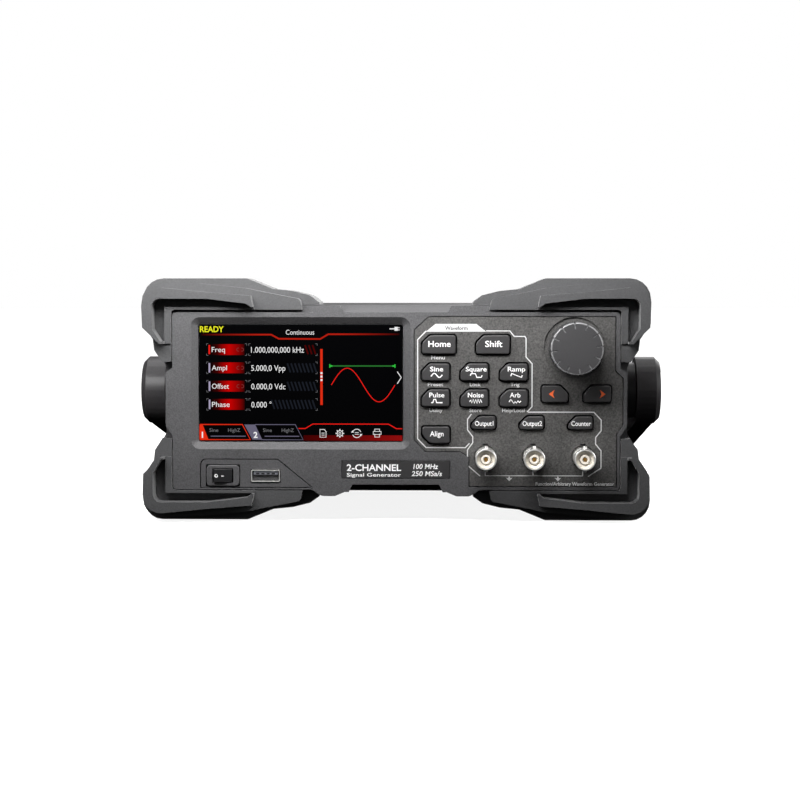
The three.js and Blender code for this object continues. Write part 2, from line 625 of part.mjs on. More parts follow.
function fanFrame() {
  const hub = drum(fan.x, fan.z, fan.hub, fanBack - fan.hubWall, fanBack, 20);
  const struts = [0, 1, 2].map((i) => {
    const geometry = new THREE.BoxGeometry(fan.bore, fan.hubWall, fan.strutWidth);
    const turn = (2 * Math.PI * i) / 3 + THREE.MathUtils.degToRad(fan.strutTurn);
    geometry.translate(fan.bore / 2 + overcut, 0, 0).rotateY(turn);
    return solid(geometry.translate(fan.x, fanBack - fan.hubWall / 2, fan.z));
  });
  const frame = plate(rectangle(fan.x, fan.z, fan.size, fan.size, fan.corner), fanFront, fanBack,
    [circle(fan.x, fan.z, fan.bore, 36)]);
  return join(frame, hub, ...struts);
}

function fanRotor() {
  const nearFace = fanFront + overcut;
  const farFace = fanBack - fan.hubWall - gap;
  const hub = drum(fan.x, fan.z, fan.hub - slideGap, nearFace, farFace, 20);
  const tip = fan.bore - fan.tipGap;
  const length = tip - fan.hub + 2 * overcut;
  const blades = Array.from({ length: fan.blades }, (_, i) => {
    const geometry = new THREE.BoxGeometry(length, fan.chord, fan.bladeThickness);
    geometry.rotateX(THREE.MathUtils.degToRad(fan.pitch));
    geometry.translate(tip - length / 2, 0, 0).rotateY((2 * Math.PI * i) / fan.blades);
    return solid(geometry.translate(fan.x, (nearFace + farFace) / 2, fan.z));
  });
  return join(hub, ...blades);
}

add('fan_frame', fanFrame(), 'darkPlastic');
add('fan_rotor', fanRotor(), 'darkPlastic');

// ---------------------------------------------------------------- rear connectors

function mainsInlet() {
  const { x, z, width, height, flangeRim, proud, depth, backWall, keyCut } = inlet;
  const rim = body.rear + gap;
  const flange = plate(rectangle(x, z, width + 2 * flangeRim, height + 2 * flangeRim, 2),
    rim, rim + proud);
  const shell = plate(rectangle(x, z, width, height, 1), body.rear - depth, rim + sink);
  const [w, h] = [width / 2 - inlet.sideWall, height / 2 - inlet.endWall];
  const cavity = plate(rounded([[x - w, z - h], [x + w, z - h], [x + w, z + h - keyCut],
    [x + w - keyCut, z + h], [x - w + keyCut, z + h], [x - w, z + h - keyCut]]),
  body.rear - depth + backWall, rim + proud + overcut);
  const pins = inletPins.map(({ dx, dz }) =>
    block([x + dx - inlet.pinHalf, x + dx + inlet.pinHalf],
      [body.rear - depth + backWall - overcut, body.rear - inlet.pinSunk],
      [z + dz - inlet.pinHalfHeight, z + dz + inlet.pinHalfHeight]));
  return join(cut(join(flange, shell), cavity), ...pins);
}

function rearSocketPiece({ x, z }) {
  const rim = body.rear + rearSocket.proud;
  const seat = body.rear + gap;
  const pinFace = rim - rearSocket.pinRoot;
  return turned([
    [0, pinFace], [socket.pin, pinFace], [socket.pin, rim - rearSocket.pinFromRim],
    [socket.core, rim - rearSocket.pinFromRim], [socket.core, rim - rearSocket.bore],
    [socketBore, rim - rearSocket.bore], [socketBore, rim], [socket.barrel, rim],
    [socket.barrel, seat + rearSocket.flange], [socketFlange, seat + rearSocket.flange],
    [socketFlange, seat], [socket.barrel, seat],
    [socket.barrel, body.rear - rearSocket.tail], [0, body.rear - rearSocket.tail],
  ], x, z, 16);
}

function portShell({ x, z, width, height, depth, openWidth, openHeight }) {
  const back = body.rear - depth;
  const rim = body.rear + port.proud;
  return cut(plate(rectangle(x, z, width, height), back, rim),
    plate(rectangle(x, z, openWidth, openHeight), back + port.backWall, rim + overcut));
}

add('mains_inlet', mainsInlet(), 'darkPlastic');
rearSockets.forEach((item) => add(item.name, rearSocketPiece(item), 'nickel'));
add('lan_port', portShell(lan), 'zinc');
const deviceTongue = block([usbDevice.x - port.tongueHalf, usbDevice.x + port.tongueHalf],
  [body.rear - usbDevice.depth + port.backWall - overcut, body.rear - port.tongueSunk],
  [usbDevice.z - port.tongueHalfHeight, usbDevice.z + port.tongueHalfHeight]);
add('usb_device_port', join(portShell(usbDevice), deviceTongue), 'zinc');

// ---------------------------------------------------------------- bumpers

// Each outline is for the upper right corner. It runs on under the case, which cuts it back.
const W = outer.halfWidth;
const H = outer.halfHeight;
const under = (tip) => [[front.halfWidth - 3, tip], [front.halfWidth - 3, front.top - 3]];

const deepLoop = (corner) => rounded([
  [35.5, front.top - 3], [35.5, H - 11, 1], [40, H - 7.8], [48, H - 5.8], [57, H - 4.9], [69, H, 2],
  [W, H, corner], [W - 0.3, H - 20], [W - 1.5, H - 23], [W - 5.2, H - 28.5],
  [W - 5.7, H - 33], [W - 8.1, H - 36], [W - 10.2, H - 39.5], [W - 10.7, H - 41], ...under(H - 41),
], 0, 5);
const stepLoop = (corner) => rounded([
  [42, front.top - 3], [44, H - 9.5, 2], [60, H - 6.4], [69, H - 4.5], [90, H - 2.4],
  [W - 0.6, H - 1.4, corner], [W - 1, H - 21], [W - 5.8, H - 28], [W - 6.4, H - 33],
  [W - 10, H - 38.5], ...under(H - 38),
], 0, 5);
const rimLoop = (corner) => rounded([
  [64, front.top - 3], [66, H - 8], [86, H - 6.4], [W - 1.2, H - 3.4, corner],
  [W - 1.8, H - 22.5], [W - 9.5, H - 30], ...under(H - 30),
], 0, 5);
const pocketLoop = rounded([
  [66, H - 13.2], [68, H - 11.6], [86, H - 9.4], [W - 6.2, H - 9.3, 3.5], [W - 6.2, H - 23],
  [W - 10, H - 29], [W - 11.3, H - 29], [W - 11.3, H - 13.2],
], 0, 3);

const bodyClear = plate(bodyLoop(bumper.lip), body.flangeFront - bumper.lip, body.rear + bumper.lip);
const frontClear = plate(rectangle(0, 0, 2 * (front.halfWidth + bumper.lip),
  2 * (front.bottom + bumper.lip), bezel.corner), -bumper.proud - overcut, body.flangeFront);
const lipClear = plate(rectangle(0, 0, 2 * (W - 11.3), 2 * (H - 13.2)),
  -bumper.proud - overcut, -bumper.lipDepth);

function frontBumper(sideX, sideZ) {
  const flip = ([x, z]) => [sideX * x, sideZ * z];
  const corner = sideZ > 0 ? bumper.corner : bumper.lowerCorner;
  const layer = (loop, from, to) =>
    plate(rounded(loop.map(({ x, y }) => flip([x, y]))), from, to);
  const solidCorner = join(
    layer(deepLoop(corner), bumper.stepBack, bumper.back),
    layer(stepLoop(corner), bumper.stepFront, bumper.stepBack + sink),
    layer(rimLoop(corner), -bumper.proud, bumper.stepFront + sink));
  const pocket = layer(pocketLoop, -bumper.proud - overcut, bumper.pocketFloor);
  return cut(solidCorner, bodyClear, frontClear, lipClear, pocket);
}

for (const [sideX, across] of [[-1, 'left'], [1, 'right']]) {
  for (const [sideZ, up] of [[1, 'upper'], [-1, 'lower']]) {
    add(`bumper_${up}_${across}`, frontBumper(sideX, sideZ), 'rubber');
  }
}

// The rear bumpers run the whole height of each side and hook over the rear panel's edge.
function rearBumperPiece(side) {
  const { inner } = rearBumper;
  const upper = [
    [inner, body.top - 3], [inner, body.top + bumper.lip, 1], [inner + 3, H - 5], [inner + 12, H, 2],
    [W, H, bumper.corner], [W, H - 22], [W - 5.5, H - 29],
  ];
  const lower = upper.map(([x, z, radius]) => [x, -z, radius]).reverse();
  const edge = body.halfWidth - rearBumper.cover;
  const corners = [...upper, ...lower, [inner, -body.bottom + rearBumper.cover],
    [edge, -body.bottom + rearBumper.cover], [edge, body.top - rearBumper.cover],
    [inner, body.top - rearBumper.cover]];
  const loop = rounded(corners.map(([x, z, radius]) => [side * x, z, radius]), 0, 5);
  return cut(plate(loop, body.rear - rearBumper.length, body.rear + rearBumper.lip), bodyClear);
}

add('rear_bumper_left', rearBumperPiece(-1), 'rubber');
add('rear_bumper_right', rearBumperPiece(1), 'rubber');

// ---------------------------------------------------------------- handle

// Seen from above the handle is a U, seen from the side it is two circles and their tangents.
function handlePiece() {
  const armOuter = hubInner + handle.armThickness;
  const reach = armLength + handle.gripRadius;
  const insideReach = armLength - handle.gripRadius;
  const clear = 2 * handle.hubRadius;
  const plan = rounded([
    [-armOuter, -clear], [-hubInner, -clear],
    [-hubInner, insideReach, handle.elbow - handle.armThickness],
    [hubInner, insideReach, handle.elbow - handle.armThickness],
    [hubInner, -clear], [armOuter, -clear],
    [armOuter, reach, handle.elbow], [-armOuter, reach, handle.elbow],
  ], 0, 6);
  const lean = Math.asin((handle.hubRadius - handle.gripRadius) / armLength);
  const side = [];
  const arc = (y, radius, from, to, steps) => {
    for (let i = 0; i <= steps; i += 1) {
      const turn = from + ((to - from) * i) / steps;
      side.push(new THREE.Vector2(y + radius * Math.cos(turn), radius * Math.sin(turn)));
    }
  };
  const quarter = Math.PI / 2;
  arc(0, handle.hubRadius, quarter - lean, 3 * quarter + lean, 16);
  arc(armLength, handle.gripRadius, -quarter + lean, quarter - lean, 8);
  const profile = extrude('x', side, -hubOuter - overcut, hubOuter + overcut);
  const bow = extrude('z', plan, -clear, clear).intersect(profile);
  const hubs = [-1, 1].map((sign) => turnedAcross([
    [0, sign * hubInner], [handle.hubRadius, sign * hubInner],
    [handle.hubRadius, sign * (hubOuter - handle.hubBevel)],
    [handle.hubRadius - handle.hubBevel, sign * hubOuter],
    [0, sign * hubOuter],
  ]));
  const recesses = [-1, 1].map((sign) => {
    const faces = [sign * (hubInner - overcut), sign * (hubInner + armRecess.depth)];
    const root = handle.hubRadius + armRecess.fromHub;
    const end = armLength - armRecess.fromGrip;
    const loop = rounded([[root, -armRecess.rootHalf], [end, -armRecess.endHalf],
      [end, armRecess.endHalf], [root, armRecess.rootHalf]], armRecess.corner);
    return extrude('x', loop, ...faces.sort((a, b) => a - b));
  });
  const pinHoles = [-1, 1].map((sign) => turnedAcross([
    [0, sign * (hubInner - overcut)], [pivot.pin + gap, sign * (hubInner - overcut)],
    [pivot.pin + gap, sign * (hubInner + pivot.pinReach + gap)],
    [0, sign * (hubInner + pivot.pinReach + gap)],
  ], 20));
  const gripRoom = block([-handle.gripHalf - gap, handle.gripHalf + gap],
    [insideReach - overcut, reach + overcut], [-clear, clear]);
  const coreEnd = handle.gripHalf + handle.coreOverlap;
  const core = block([-coreEnd, coreEnd],
    [armLength - handle.coreHalf, armLength + handle.coreHalf], [-handle.coreHalf, handle.coreHalf]);
  return join(cut(join(bow, ...hubs), ...recesses, ...pinHoles, gripRoom), core);
}

function gripPiece() {
  const half = handle.coreHalf + gap;
  return extrude('x', circle(armLength, 0, handle.gripRadius, 20), -handle.gripHalf, handle.gripHalf,
    [rectangle(armLength, 0, 2 * half, 2 * half)]);
}

// Bolted to the case side: a round boss with the pin that the hub turns on.
function pivotPiece(sign) {
  const base = body.halfWidth + gap;
  const step = hubInner - gap;
  const piece = turnedAcross([
    [0, sign * base], [pivot.boss, sign * base], [pivot.boss, sign * step], [pivot.pin, sign * step],
    [pivot.pin, sign * (hubInner + pivot.pinReach)], [0, sign * (hubInner + pivot.pinReach)],
  ], 28);
  return piece.translate([0, handle.pivotDepth, 0]);
}

add('pivot_left', pivotPiece(-1), 'darkPlastic');
add('pivot_right', pivotPiece(1), 'darkPlastic');
add('handle', handlePiece(), 'darkPlastic', swing);
add('handle_grip', gripPiece(), 'rubber', swing);

// ---------------------------------------------------------------- placing

swing.position.set(0, handle.pivotDepth, 0);
swing.rotation.x = -fold;
fixed.position.set(0, -(rearmost - knob.proud) / 2, H);

export default group;
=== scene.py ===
# %% [markdown]
# # A bench function generator
# The instrument stands on four rubber corner bumpers. A moulded front carries a display window,
# fourteen keys, one knob, three coaxial sockets, a rocker switch and a port. A carry handle
# swings on both sides. The measured model is the frame: it gives every size and place, and this
# script makes the surfaces that are seen, one piece at a time.

import json
import math

import bmesh
import bpy
from mathutils import Matrix, Vector

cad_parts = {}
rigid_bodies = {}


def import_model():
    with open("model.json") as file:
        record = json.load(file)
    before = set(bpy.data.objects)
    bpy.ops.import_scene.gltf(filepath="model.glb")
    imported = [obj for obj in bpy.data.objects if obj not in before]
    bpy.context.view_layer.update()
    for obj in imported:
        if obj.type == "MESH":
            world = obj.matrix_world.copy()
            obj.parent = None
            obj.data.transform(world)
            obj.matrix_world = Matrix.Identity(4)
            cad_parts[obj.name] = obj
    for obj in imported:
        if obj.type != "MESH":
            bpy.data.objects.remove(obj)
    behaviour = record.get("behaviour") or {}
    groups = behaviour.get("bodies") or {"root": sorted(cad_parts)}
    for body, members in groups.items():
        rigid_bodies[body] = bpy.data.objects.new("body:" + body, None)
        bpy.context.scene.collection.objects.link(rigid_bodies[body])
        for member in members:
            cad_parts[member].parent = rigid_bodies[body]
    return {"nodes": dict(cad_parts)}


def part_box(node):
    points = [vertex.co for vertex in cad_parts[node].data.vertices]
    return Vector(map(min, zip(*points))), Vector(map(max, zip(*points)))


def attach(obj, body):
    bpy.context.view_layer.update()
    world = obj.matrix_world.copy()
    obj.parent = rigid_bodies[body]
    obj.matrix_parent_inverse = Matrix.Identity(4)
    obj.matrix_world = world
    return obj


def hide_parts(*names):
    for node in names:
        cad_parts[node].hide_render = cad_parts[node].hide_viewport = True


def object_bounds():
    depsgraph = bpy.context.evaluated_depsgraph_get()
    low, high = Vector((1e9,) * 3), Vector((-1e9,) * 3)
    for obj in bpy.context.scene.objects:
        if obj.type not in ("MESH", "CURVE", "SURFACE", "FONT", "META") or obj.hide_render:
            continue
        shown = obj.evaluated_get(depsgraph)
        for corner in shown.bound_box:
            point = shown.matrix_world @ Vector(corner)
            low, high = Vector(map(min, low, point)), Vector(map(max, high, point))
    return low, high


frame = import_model()
cad_low, cad_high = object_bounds()
print("frame box in mm:", [round(1000 * side) for side in cad_high - cad_low])

# %% [markdown]
# ## Working flat, then standing the work up
# Most pieces of a front panel are flat: a cap, a plate, a line of print. Each is drawn lying
# down in millimetres, X to the right, Y up the panel and Z out of it. One matrix then scales
# it to metres and stands it up at its place on the front or on the rear panel. Drawing every
# piece straight in its place would work too, but then no two of them could share a function.

# %% Places
MM = 0.001
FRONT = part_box("front_bezel")[0].y
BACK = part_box("rear_panel")[1].y
MIDDLE = (cad_low.z + cad_high.z) / 2


def on_front(x, z, depth=0.0):
    place = Vector((x * MM, FRONT + depth * MM, MIDDLE + z * MM))
    turn = Matrix.Rotation(math.radians(90), 4, "X")
    return Matrix.Translation(place) @ turn @ Matrix.Scale(MM, 4)


def on_rear(x, z, proud=0.0):
    place = Vector((x * MM, BACK + proud * MM, MIDDLE + z * MM))
    turn = Matrix.Rotation(math.radians(180), 4, "Z") @ Matrix.Rotation(math.radians(90), 4, "X")
    return Matrix.Translation(place) @ turn @ Matrix.Scale(MM, 4)


def front_box(node):
    """Middle x, middle z, width, height and front depth of a node, in millimetres."""
    low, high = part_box(node)
    middle, size = (low + high) / MM / 2, (high - low) / MM
    return middle.x, middle.z - MIDDLE / MM, size.x, size.z, (low.y - FRONT) / MM


print("front face at y =", round(FRONT, 4), "and rear panel at y =", round(BACK, 4))

# %% [markdown]
# ## The camera
# The instrument is seen almost square on, from a little above and a touch to the right, through
# a long lens, so the top face just shows. The camera aims at the front face. A long lens far off
# flattens the view; a short lens near by would show far more of the top.

# %% Camera
LENS, SENSOR = 85.3, 36.0
CAMERA_DISTANCE = 0.87
CAMERA_AZIMUTH, CAMERA_ELEVATION = math.radians(1.5), math.radians(3.2)
AIM = Vector((2.0 * MM, FRONT, MIDDLE + 0.2 * MM))

camera_data = bpy.data.cameras.new("camera")
camera_data.lens, camera_data.sensor_width = LENS, SENSOR
camera = bpy.data.objects.new("camera", camera_data)
bpy.context.scene.collection.objects.link(camera)
backwards = Vector((math.sin(CAMERA_AZIMUTH) * math.cos(CAMERA_ELEVATION),
                    -math.cos(CAMERA_AZIMUTH) * math.cos(CAMERA_ELEVATION),
                    math.sin(CAMERA_ELEVATION)))
camera.location = AIM + CAMERA_DISTANCE * backwards
camera.rotation_euler = backwards.to_track_quat("Z", "Y").to_euler()
bpy.context.scene.camera = camera
print("camera at", [round(value, 3) for value in camera.location])

# %% [markdown]
# ## Finishes as sums
# A finish is a small graph of nodes. Written as node and link calls it is hard to read, so one
# class holds a number or colour that varies over the surface, and its arithmetic adds the Math
# nodes. Python hands `1 - mask` to the reflected form of minus, so each sign has one.

# %% Values that vary
class Varying:
    """One output of a finish's nodes."""

    def __init__(self, finish, socket):
        self.finish, self.socket = finish, socket

    def maths(self, operation, first, second):
        return self.finish.node("ShaderNodeMath", {"operation": operation}, {0: first, 1: second})

    def __add__(self, other):
        return self.maths("ADD", self, other)

    def __sub__(self, other):
        return self.maths("SUBTRACT", self, other)

    def __rsub__(self, other):
        return self.maths("SUBTRACT", other, self)

    def __mul__(self, other):
        return self.maths("MULTIPLY", self, other)

    __radd__, __rmul__ = __add__, __mul__


print("signs that add a node: + - *")

# %% [markdown]
# The second class owns a material with one shader, and adds any other node in one call. The
# texture place is the object's own, in metres, so a grain keeps its true size on every piece
# and stays on the piece when it moves.

# %% Finishes
class Finish:
    """A material with one Principled shader, whose patterns are laid in the object's own metres."""

    def __init__(self, name, colour, roughness, metallic=0.0, **constants):
        self.material = bpy.data.materials.new(name)
        self.material.use_nodes = True
        self.tree = self.material.node_tree
        self.shader = self.tree.nodes["Principled BSDF"]
        self.colour = (*colour, 1.0)
        self.material.diffuse_color = self.colour
        settings = {"Base Color": self.colour, "Roughness": roughness, "Metallic": metallic}
        settings.update(constants)
        for socket, value in settings.items():
            self.shader.inputs[socket].default_value = value
        self.place = self.node("ShaderNodeTexCoord", output="Object")

    def node(self, kind, settings=None, sockets=None, output=0):
        made = self.tree.nodes.new(kind)
        for name, value in (settings or {}).items():
            if name == "stops":
                self.set_stops(made.color_ramp, value)
            else:
                setattr(made, name, value)
        for name, value in (sockets or {}).items():
            if isinstance(value, Varying):
                self.tree.links.new(value.socket, made.inputs[name])
            else:
                made.inputs[name].default_value = value
        return Varying(self, made.outputs[output])

    def set_stops(self, ramp, stops):
        while len(ramp.elements) < len(stops):
            ramp.elements.new(1.0)
        for element, (position, colour) in zip(ramp.elements, stops):
            element.position, element.color = position, (*colour, 1.0)

    def drive(self, socket, value):
        self.tree.links.new(value.socket, self.shader.inputs[socket])
        return self

    def noise(self, grain_mm, detail=2.0, stretch=(1, 1, 1)):
        place = self.node("ShaderNodeMapping", None, {"Vector": self.place, "Scale": stretch})
        return self.node("ShaderNodeTexNoise", None,
                         {"Vector": place, "Scale": 1 / (grain_mm * MM), "Detail": detail})

    def axis(self, letter, start, end):
        """0 to 1 between two places along an axis, given in metres."""
        along = self.node("ShaderNodeSeparateXYZ", None, {"Vector": self.place}, output=letter)
        return (along - start) * (1 / (end - start))

    def mix(self, factor, first, second):
        sockets = {"Factor": factor, 6: first, 7: second}
        return self.node("ShaderNodeMix", {"data_type": "RGBA"}, sockets, output=2)

    def tinted(self, factor, share):
        """The base colour, lighter or darker by a share as the factor goes from 0 to 1."""
        darker = tuple(part * (1 - share) for part in self.colour[:3]) + (1.0,)
        lighter = tuple(min(part * (1 + share), 1) for part in self.colour[:3]) + (1.0,)
        return self.drive("Base Color", self.mix(factor, darker, lighter))

    def bumped(self, height, depth_mm, strength=1.0):
        sockets = {"Height": height, "Distance": depth_mm * MM, "Strength": strength}
        return self.drive("Normal", self.node("ShaderNodeBump", None, sockets, output="Normal"))


print("shader helpers ready")

# %% [markdown]
# ## Moulded plastics
# The front, the caps and the handle are moulded in plastic whose tool was spark-eroded: a fine
# even grain that scatters the light. Two noises make it. The fine one is the grain itself, in
# the bump; the broad one lets colour and gloss drift a little, as handling does.

# %% Moulded plastics
def moulded(name, colour, roughness, grain_mm=0.22, depth_mm=0.02, speckle=0.1, **constants):
    made = Finish(name, colour, roughness, **constants)
    grain = (made.noise(grain_mm, detail=3.0) - 0.5) * 1.8 + 0.5
    broad = made.noise(24.0, detail=1.0)
    made.tinted(grain * 0.7 + broad * 0.3, speckle)
    made.drive("Roughness", broad * 0.12 + (roughness - 0.06))
    return made.bumped(grain, depth_mm)


front_plastic = moulded("front moulding", (0.068, 0.067, 0.070), 0.56, 0.6, 0.04, 0.55)
overlay_plastic = moulded("grained overlay", (0.066, 0.064, 0.062), 0.6, 0.75, 0.03, 0.9)
cap_plastic = moulded("key cap", (0.036, 0.035, 0.036), 0.42, 0.2, 0.008, 0.08)
knob_plastic = moulded("knob", (0.048, 0.047, 0.049), 0.42, 0.35, 0.012, 0.2)
black_plastic = moulded("black housing", (0.010, 0.010, 0.011), 0.42, 0.2, 0.008, 0.1)
handle_plastic = moulded("handle moulding", (0.056, 0.053, 0.056), 0.45, 0.5, 0.02, 0.2)
nameplate_film = moulded("nameplate film", (0.034, 0.033, 0.034), 0.4, 0.3, 0.004, 0.12)
print("materials so far:", len(bpy.data.materials))

# %% [markdown]
# ## Rubber, glass and metals
# The bumpers are a dull elastomer, with a coarser grain and a dusty sheen. The window is black
# glass whose coating keeps reflections faint. The sockets are nickel, turned on a lathe, so
# their marks run round the barrel, and a stretched noise stands in for them.

# %% Rubber, glass and metals
def rubber(name, colour):
    made = moulded(name, colour, 0.66, 0.6, 0.035, 0.35)
    made.shader.inputs["Sheen Weight"].default_value = 0.25
    made.shader.inputs["Sheen Roughness"].default_value = 0.5
    return made


def metal(name, colour, roughness, stretch=(1, 1, 1), scuff=0.1):
    made = Finish(name, colour, roughness, metallic=1.0)
    marks = made.noise(0.35, detail=2.0, stretch=stretch)
    stains = made.noise(5.0)
    made.tinted(stains, scuff)
    made.drive("Roughness", marks * 0.16 + (roughness - 0.08))
    return made.bumped(marks, 0.003)


def painted(name, colour):
    """Textured powder paint: rounded droplets that have half run together."""
    made = Finish(name, colour, 0.6, **{"Specular IOR Level": 0.25})
    droplets = made.node("ShaderNodeTexVoronoi", {"feature": "SMOOTH_F1"},
                         {"Vector": made.place, "Scale": 1 / (0.8 * MM)})
    made.tinted(made.noise(18.0), 0.1)
    made.drive("Roughness", droplets * 0.2 + 0.5)
    return made.bumped(1 - droplets, 0.08, 0.6)


bumper_rubber = rubber("bumper rubber", (0.052, 0.052, 0.054))
# This black is rubber on the grip and the mat, and painted shade in the keying slots and behind the
# port's tongue.
dark_rubber_and_shade = rubber("dark rubber and painted shade", (0.014, 0.014, 0.015))
nickel = metal("bright nickel", (0.94, 0.92, 0.88), 0.34, (1, 4, 1))
gold = metal("gold contact", (0.52, 0.30, 0.09), 0.3)
zinc = metal("plated sheet", (0.52, 0.53, 0.54), 0.38, (0.2, 1, 1))
# A light grey for the knob's chamfer and notch walls: a painted highlight.
knob_painted_highlight = moulded("knob painted highlight", (0.21, 0.21, 0.215), 0.3, 0.6, 0.005, 0.4)
case_paint = painted("case paint", (0.075, 0.074, 0.077))
cream = moulded("cream polymer", (0.86, 0.80, 0.70), 0.38, 0.3, 0.003, 0.05)
# The sleeve down in the bore takes a darker copy of the cream: painted shade.
shaded_sleeve_cream = moulded("shaded cream", (0.72, 0.67, 0.58), 0.3, 0.3, 0.003, 0.05)
slate_film = moulded("tongue polymer", (0.30, 0.31, 0.36), 0.4, 0.3, 0.003, 0.05)
laminate = moulded("circuit laminate", (0.02, 0.10, 0.05), 0.35, 2.0, 0.01, 0.4)

window_glass = Finish("window glass", (0.0008, 0.0008, 0.001), 0.06,
                      **{"Specular IOR Level": 0.015})
window_glass.drive("Roughness", window_glass.noise(30.0) * 0.04 + 0.04)
print("materials with metals and glass:", len(bpy.data.materials))

# %% [markdown]
# ## Print and light
# Legends are screen-printed ink. What the display shows is light, so it is emission on a black
# base. The red fields fade from left to right, which a ramp along X does without any picture.

# %% Print and light
def ink(name, colour):
    made = Finish(name, colour, 0.5)
    return made.tinted(made.noise(0.25), 0.08)


def glow(name, colour, strength=1.0):
    made = Finish(name, (0.0, 0.0, 0.0), 0.3,
                  **{"Emission Strength": strength, "Specular IOR Level": 0.04})
    made.shader.inputs["Emission Color"].default_value = (*colour, 1.0)
    made.drive("Roughness", made.noise(20.0) * 0.05 + 0.28)
    return made


def fading_glow(name, start_mm, end_mm, stops, strength=1.0):
    made = glow(name, stops[0][1], strength)
    along = made.axis("X", start_mm * MM, end_mm * MM)
    ramp = made.node("ShaderNodeValToRGB", {"stops": stops}, {"Fac": along})
    return made.drive("Emission Color", ramp)


white_ink = ink("white ink", (0.95, 0.95, 0.95))
line_ink = ink("line ink", (0.62, 0.62, 0.62))
orange_ink = ink("orange ink", (0.80, 0.13, 0.03))
word_ink = ink("dark ink", (0.03, 0.03, 0.03))
white_light = glow("white light", (0.85, 0.85, 0.85))
slate_light = glow("slate light", (0.13, 0.12, 0.18))
pale_light = glow("pale light", (0.38, 0.34, 0.48))
yellow_light = glow("yellow light", (0.85, 0.85, 0.02))
red_light = glow("red light", (0.80, 0.012, 0.008))
tab_red = glow("tab red light", (0.72, 0.025, 0.006))
green_light = glow("green light", (0.03, 0.55, 0.05))
dim_green = glow("dim green light", (0.02, 0.16, 0.025))
print("inks and lights ready")

# %% [markdown]
# ## Finishing a piece
# Every piece ends in the same way: the mesh gets its finishes, smooth shading with sharp edges
# past an angle, and the body that it rides on. Flat faces keep flat normals with a
# weighted normal modifier, or the small bevels round them would drag the shading across them.

# %% Finished pieces
def finished(bm, name, body, slot, *finishes, stands_for=(), smooth_below=32):
    mesh = bpy.data.meshes.new(name)
    bm.to_mesh(mesh)
    bm.free()
    for finish in finishes:
        mesh.materials.append(finish.material)
    mesh.shade_smooth()
    mesh.set_sharp_from_angle(angle=math.radians(smooth_below))
    made = bpy.data.objects.new(name, mesh)
    bpy.context.scene.collection.objects.link(made)
    shading = made.modifiers.new("flat faces", "WEIGHTED_NORMAL")
    shading.weight, shading.keep_sharp = 90, True
    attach(made, body)
    if stands_for:
        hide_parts(*stands_for)
    return made


print("nodes to dress:", len(frame["nodes"]))

# %% [markdown]
# ## Soft edges on measured parts
# `softened` takes a copy of a measured part, merges it, clears its flat triangles and rounds
# its sharp edges, because a real moulding or folded sheet has no perfectly sharp edge and the
# thin highlight along each edge is what makes it look solid.

# %% Soft edges
def sharp_edges(bm, degrees=30):
    limit = math.radians(degrees)
    return [edge for edge in bm.edges if edge.is_manifold and edge.calc_face_angle() > limit]


def rounded_edges(bm, edges, width, segments=2):
    bmesh.ops.bevel(bm, geom=edges, offset=width, offset_type="OFFSET", affect="EDGES",
                    segments=segments, profile=0.5, material=-1, clamp_overlap=True)


def softened(node, width_mm, segments=2, degrees=30):
    bm = bmesh.new()
    bm.from_mesh(frame["nodes"][node].data)
    bmesh.ops.remove_doubles(bm, verts=bm.verts, dist=0.002 * MM)
    bmesh.ops.dissolve_limit(bm, angle_limit=math.radians(0.5), verts=bm.verts, edges=bm.edges)
    rounded_edges(bm, sharp_edges(bm, degrees), width_mm * MM, segments)
    return bm


print("finest merge distance:", 0.002 * MM, "m")

# %% [markdown]
# ## Slabs and turned pieces
# `slab` starts from one square, cuts or rounds its corners with a vertex bevel, extrudes it and
# rounds its front rim. `turned` spins a profile round Z, as a lathe or a round mould does.

# %% Slabs and turned pieces
def slab(width, height, thickness, corner=0.0, rim=0.0, cut_corner=None, cut=0.0):
    bm = bmesh.new()
    bmesh.ops.create_grid(bm, x_segments=1, y_segments=1, size=0.5)
    bmesh.ops.scale(bm, vec=(width, height, 1), verts=bm.verts)
    if cut_corner:
        chosen = [v for v in bm.verts if v.co.x * cut_corner[0] > 0 and v.co.y * cut_corner[1] > 0]
        bmesh.ops.bevel(bm, geom=chosen, offset=cut, offset_type="OFFSET", affect="VERTICES",
                        segments=1, profile=0.5, material=-1)
    if corner:
        bmesh.ops.bevel(bm, geom=bm.verts[:], offset=corner, offset_type="OFFSET",
                        affect="VERTICES", segments=4, profile=0.5, material=-1)
    raised = bmesh.ops.extrude_face_region(bm, geom=bm.faces[:])["geom"]
    front = [item for item in raised if isinstance(item, bmesh.types.BMVert)]
    bmesh.ops.translate(bm, vec=(0, 0, thickness), verts=front)
    bmesh.ops.recalc_face_normals(bm, faces=bm.faces)
    if rim:
        top = [e for e in sharp_edges(bm, 45) if all(v.co.z > thickness / 2 for v in e.verts)]
        rounded_edges(bm, top, rim, 3)
    return bm


def turned(profile, steps=64, rim=0.0):
    """A closed [radius, height] profile in millimetres, spun round Z."""
    bm = bmesh.new()
    verts = [bm.verts.new((radius, 0, height)) for radius, height in profile]
    ring = [bm.edges.new(pair) for pair in zip(verts, verts[1:])]
    bmesh.ops.spin(bm, geom=verts + ring, cent=(0, 0, 0), axis=(0, 0, 1),
                   angle=math.radians(360), steps=steps, use_merge=True)
    bmesh.ops.remove_doubles(bm, verts=bm.verts, dist=0.001)
    bmesh.ops.recalc_face_normals(bm, faces=bm.faces)
    if rim:
        rounded_edges(bm, sharp_edges(bm), rim, 2)
    return bm


trial = turned([(0, 0), (1, 0), (1, 1), (0, 1)], 8)
print("a turned disc of 8 steps is closed:", all(edge.is_manifold for edge in trial.edges))
trial.free()

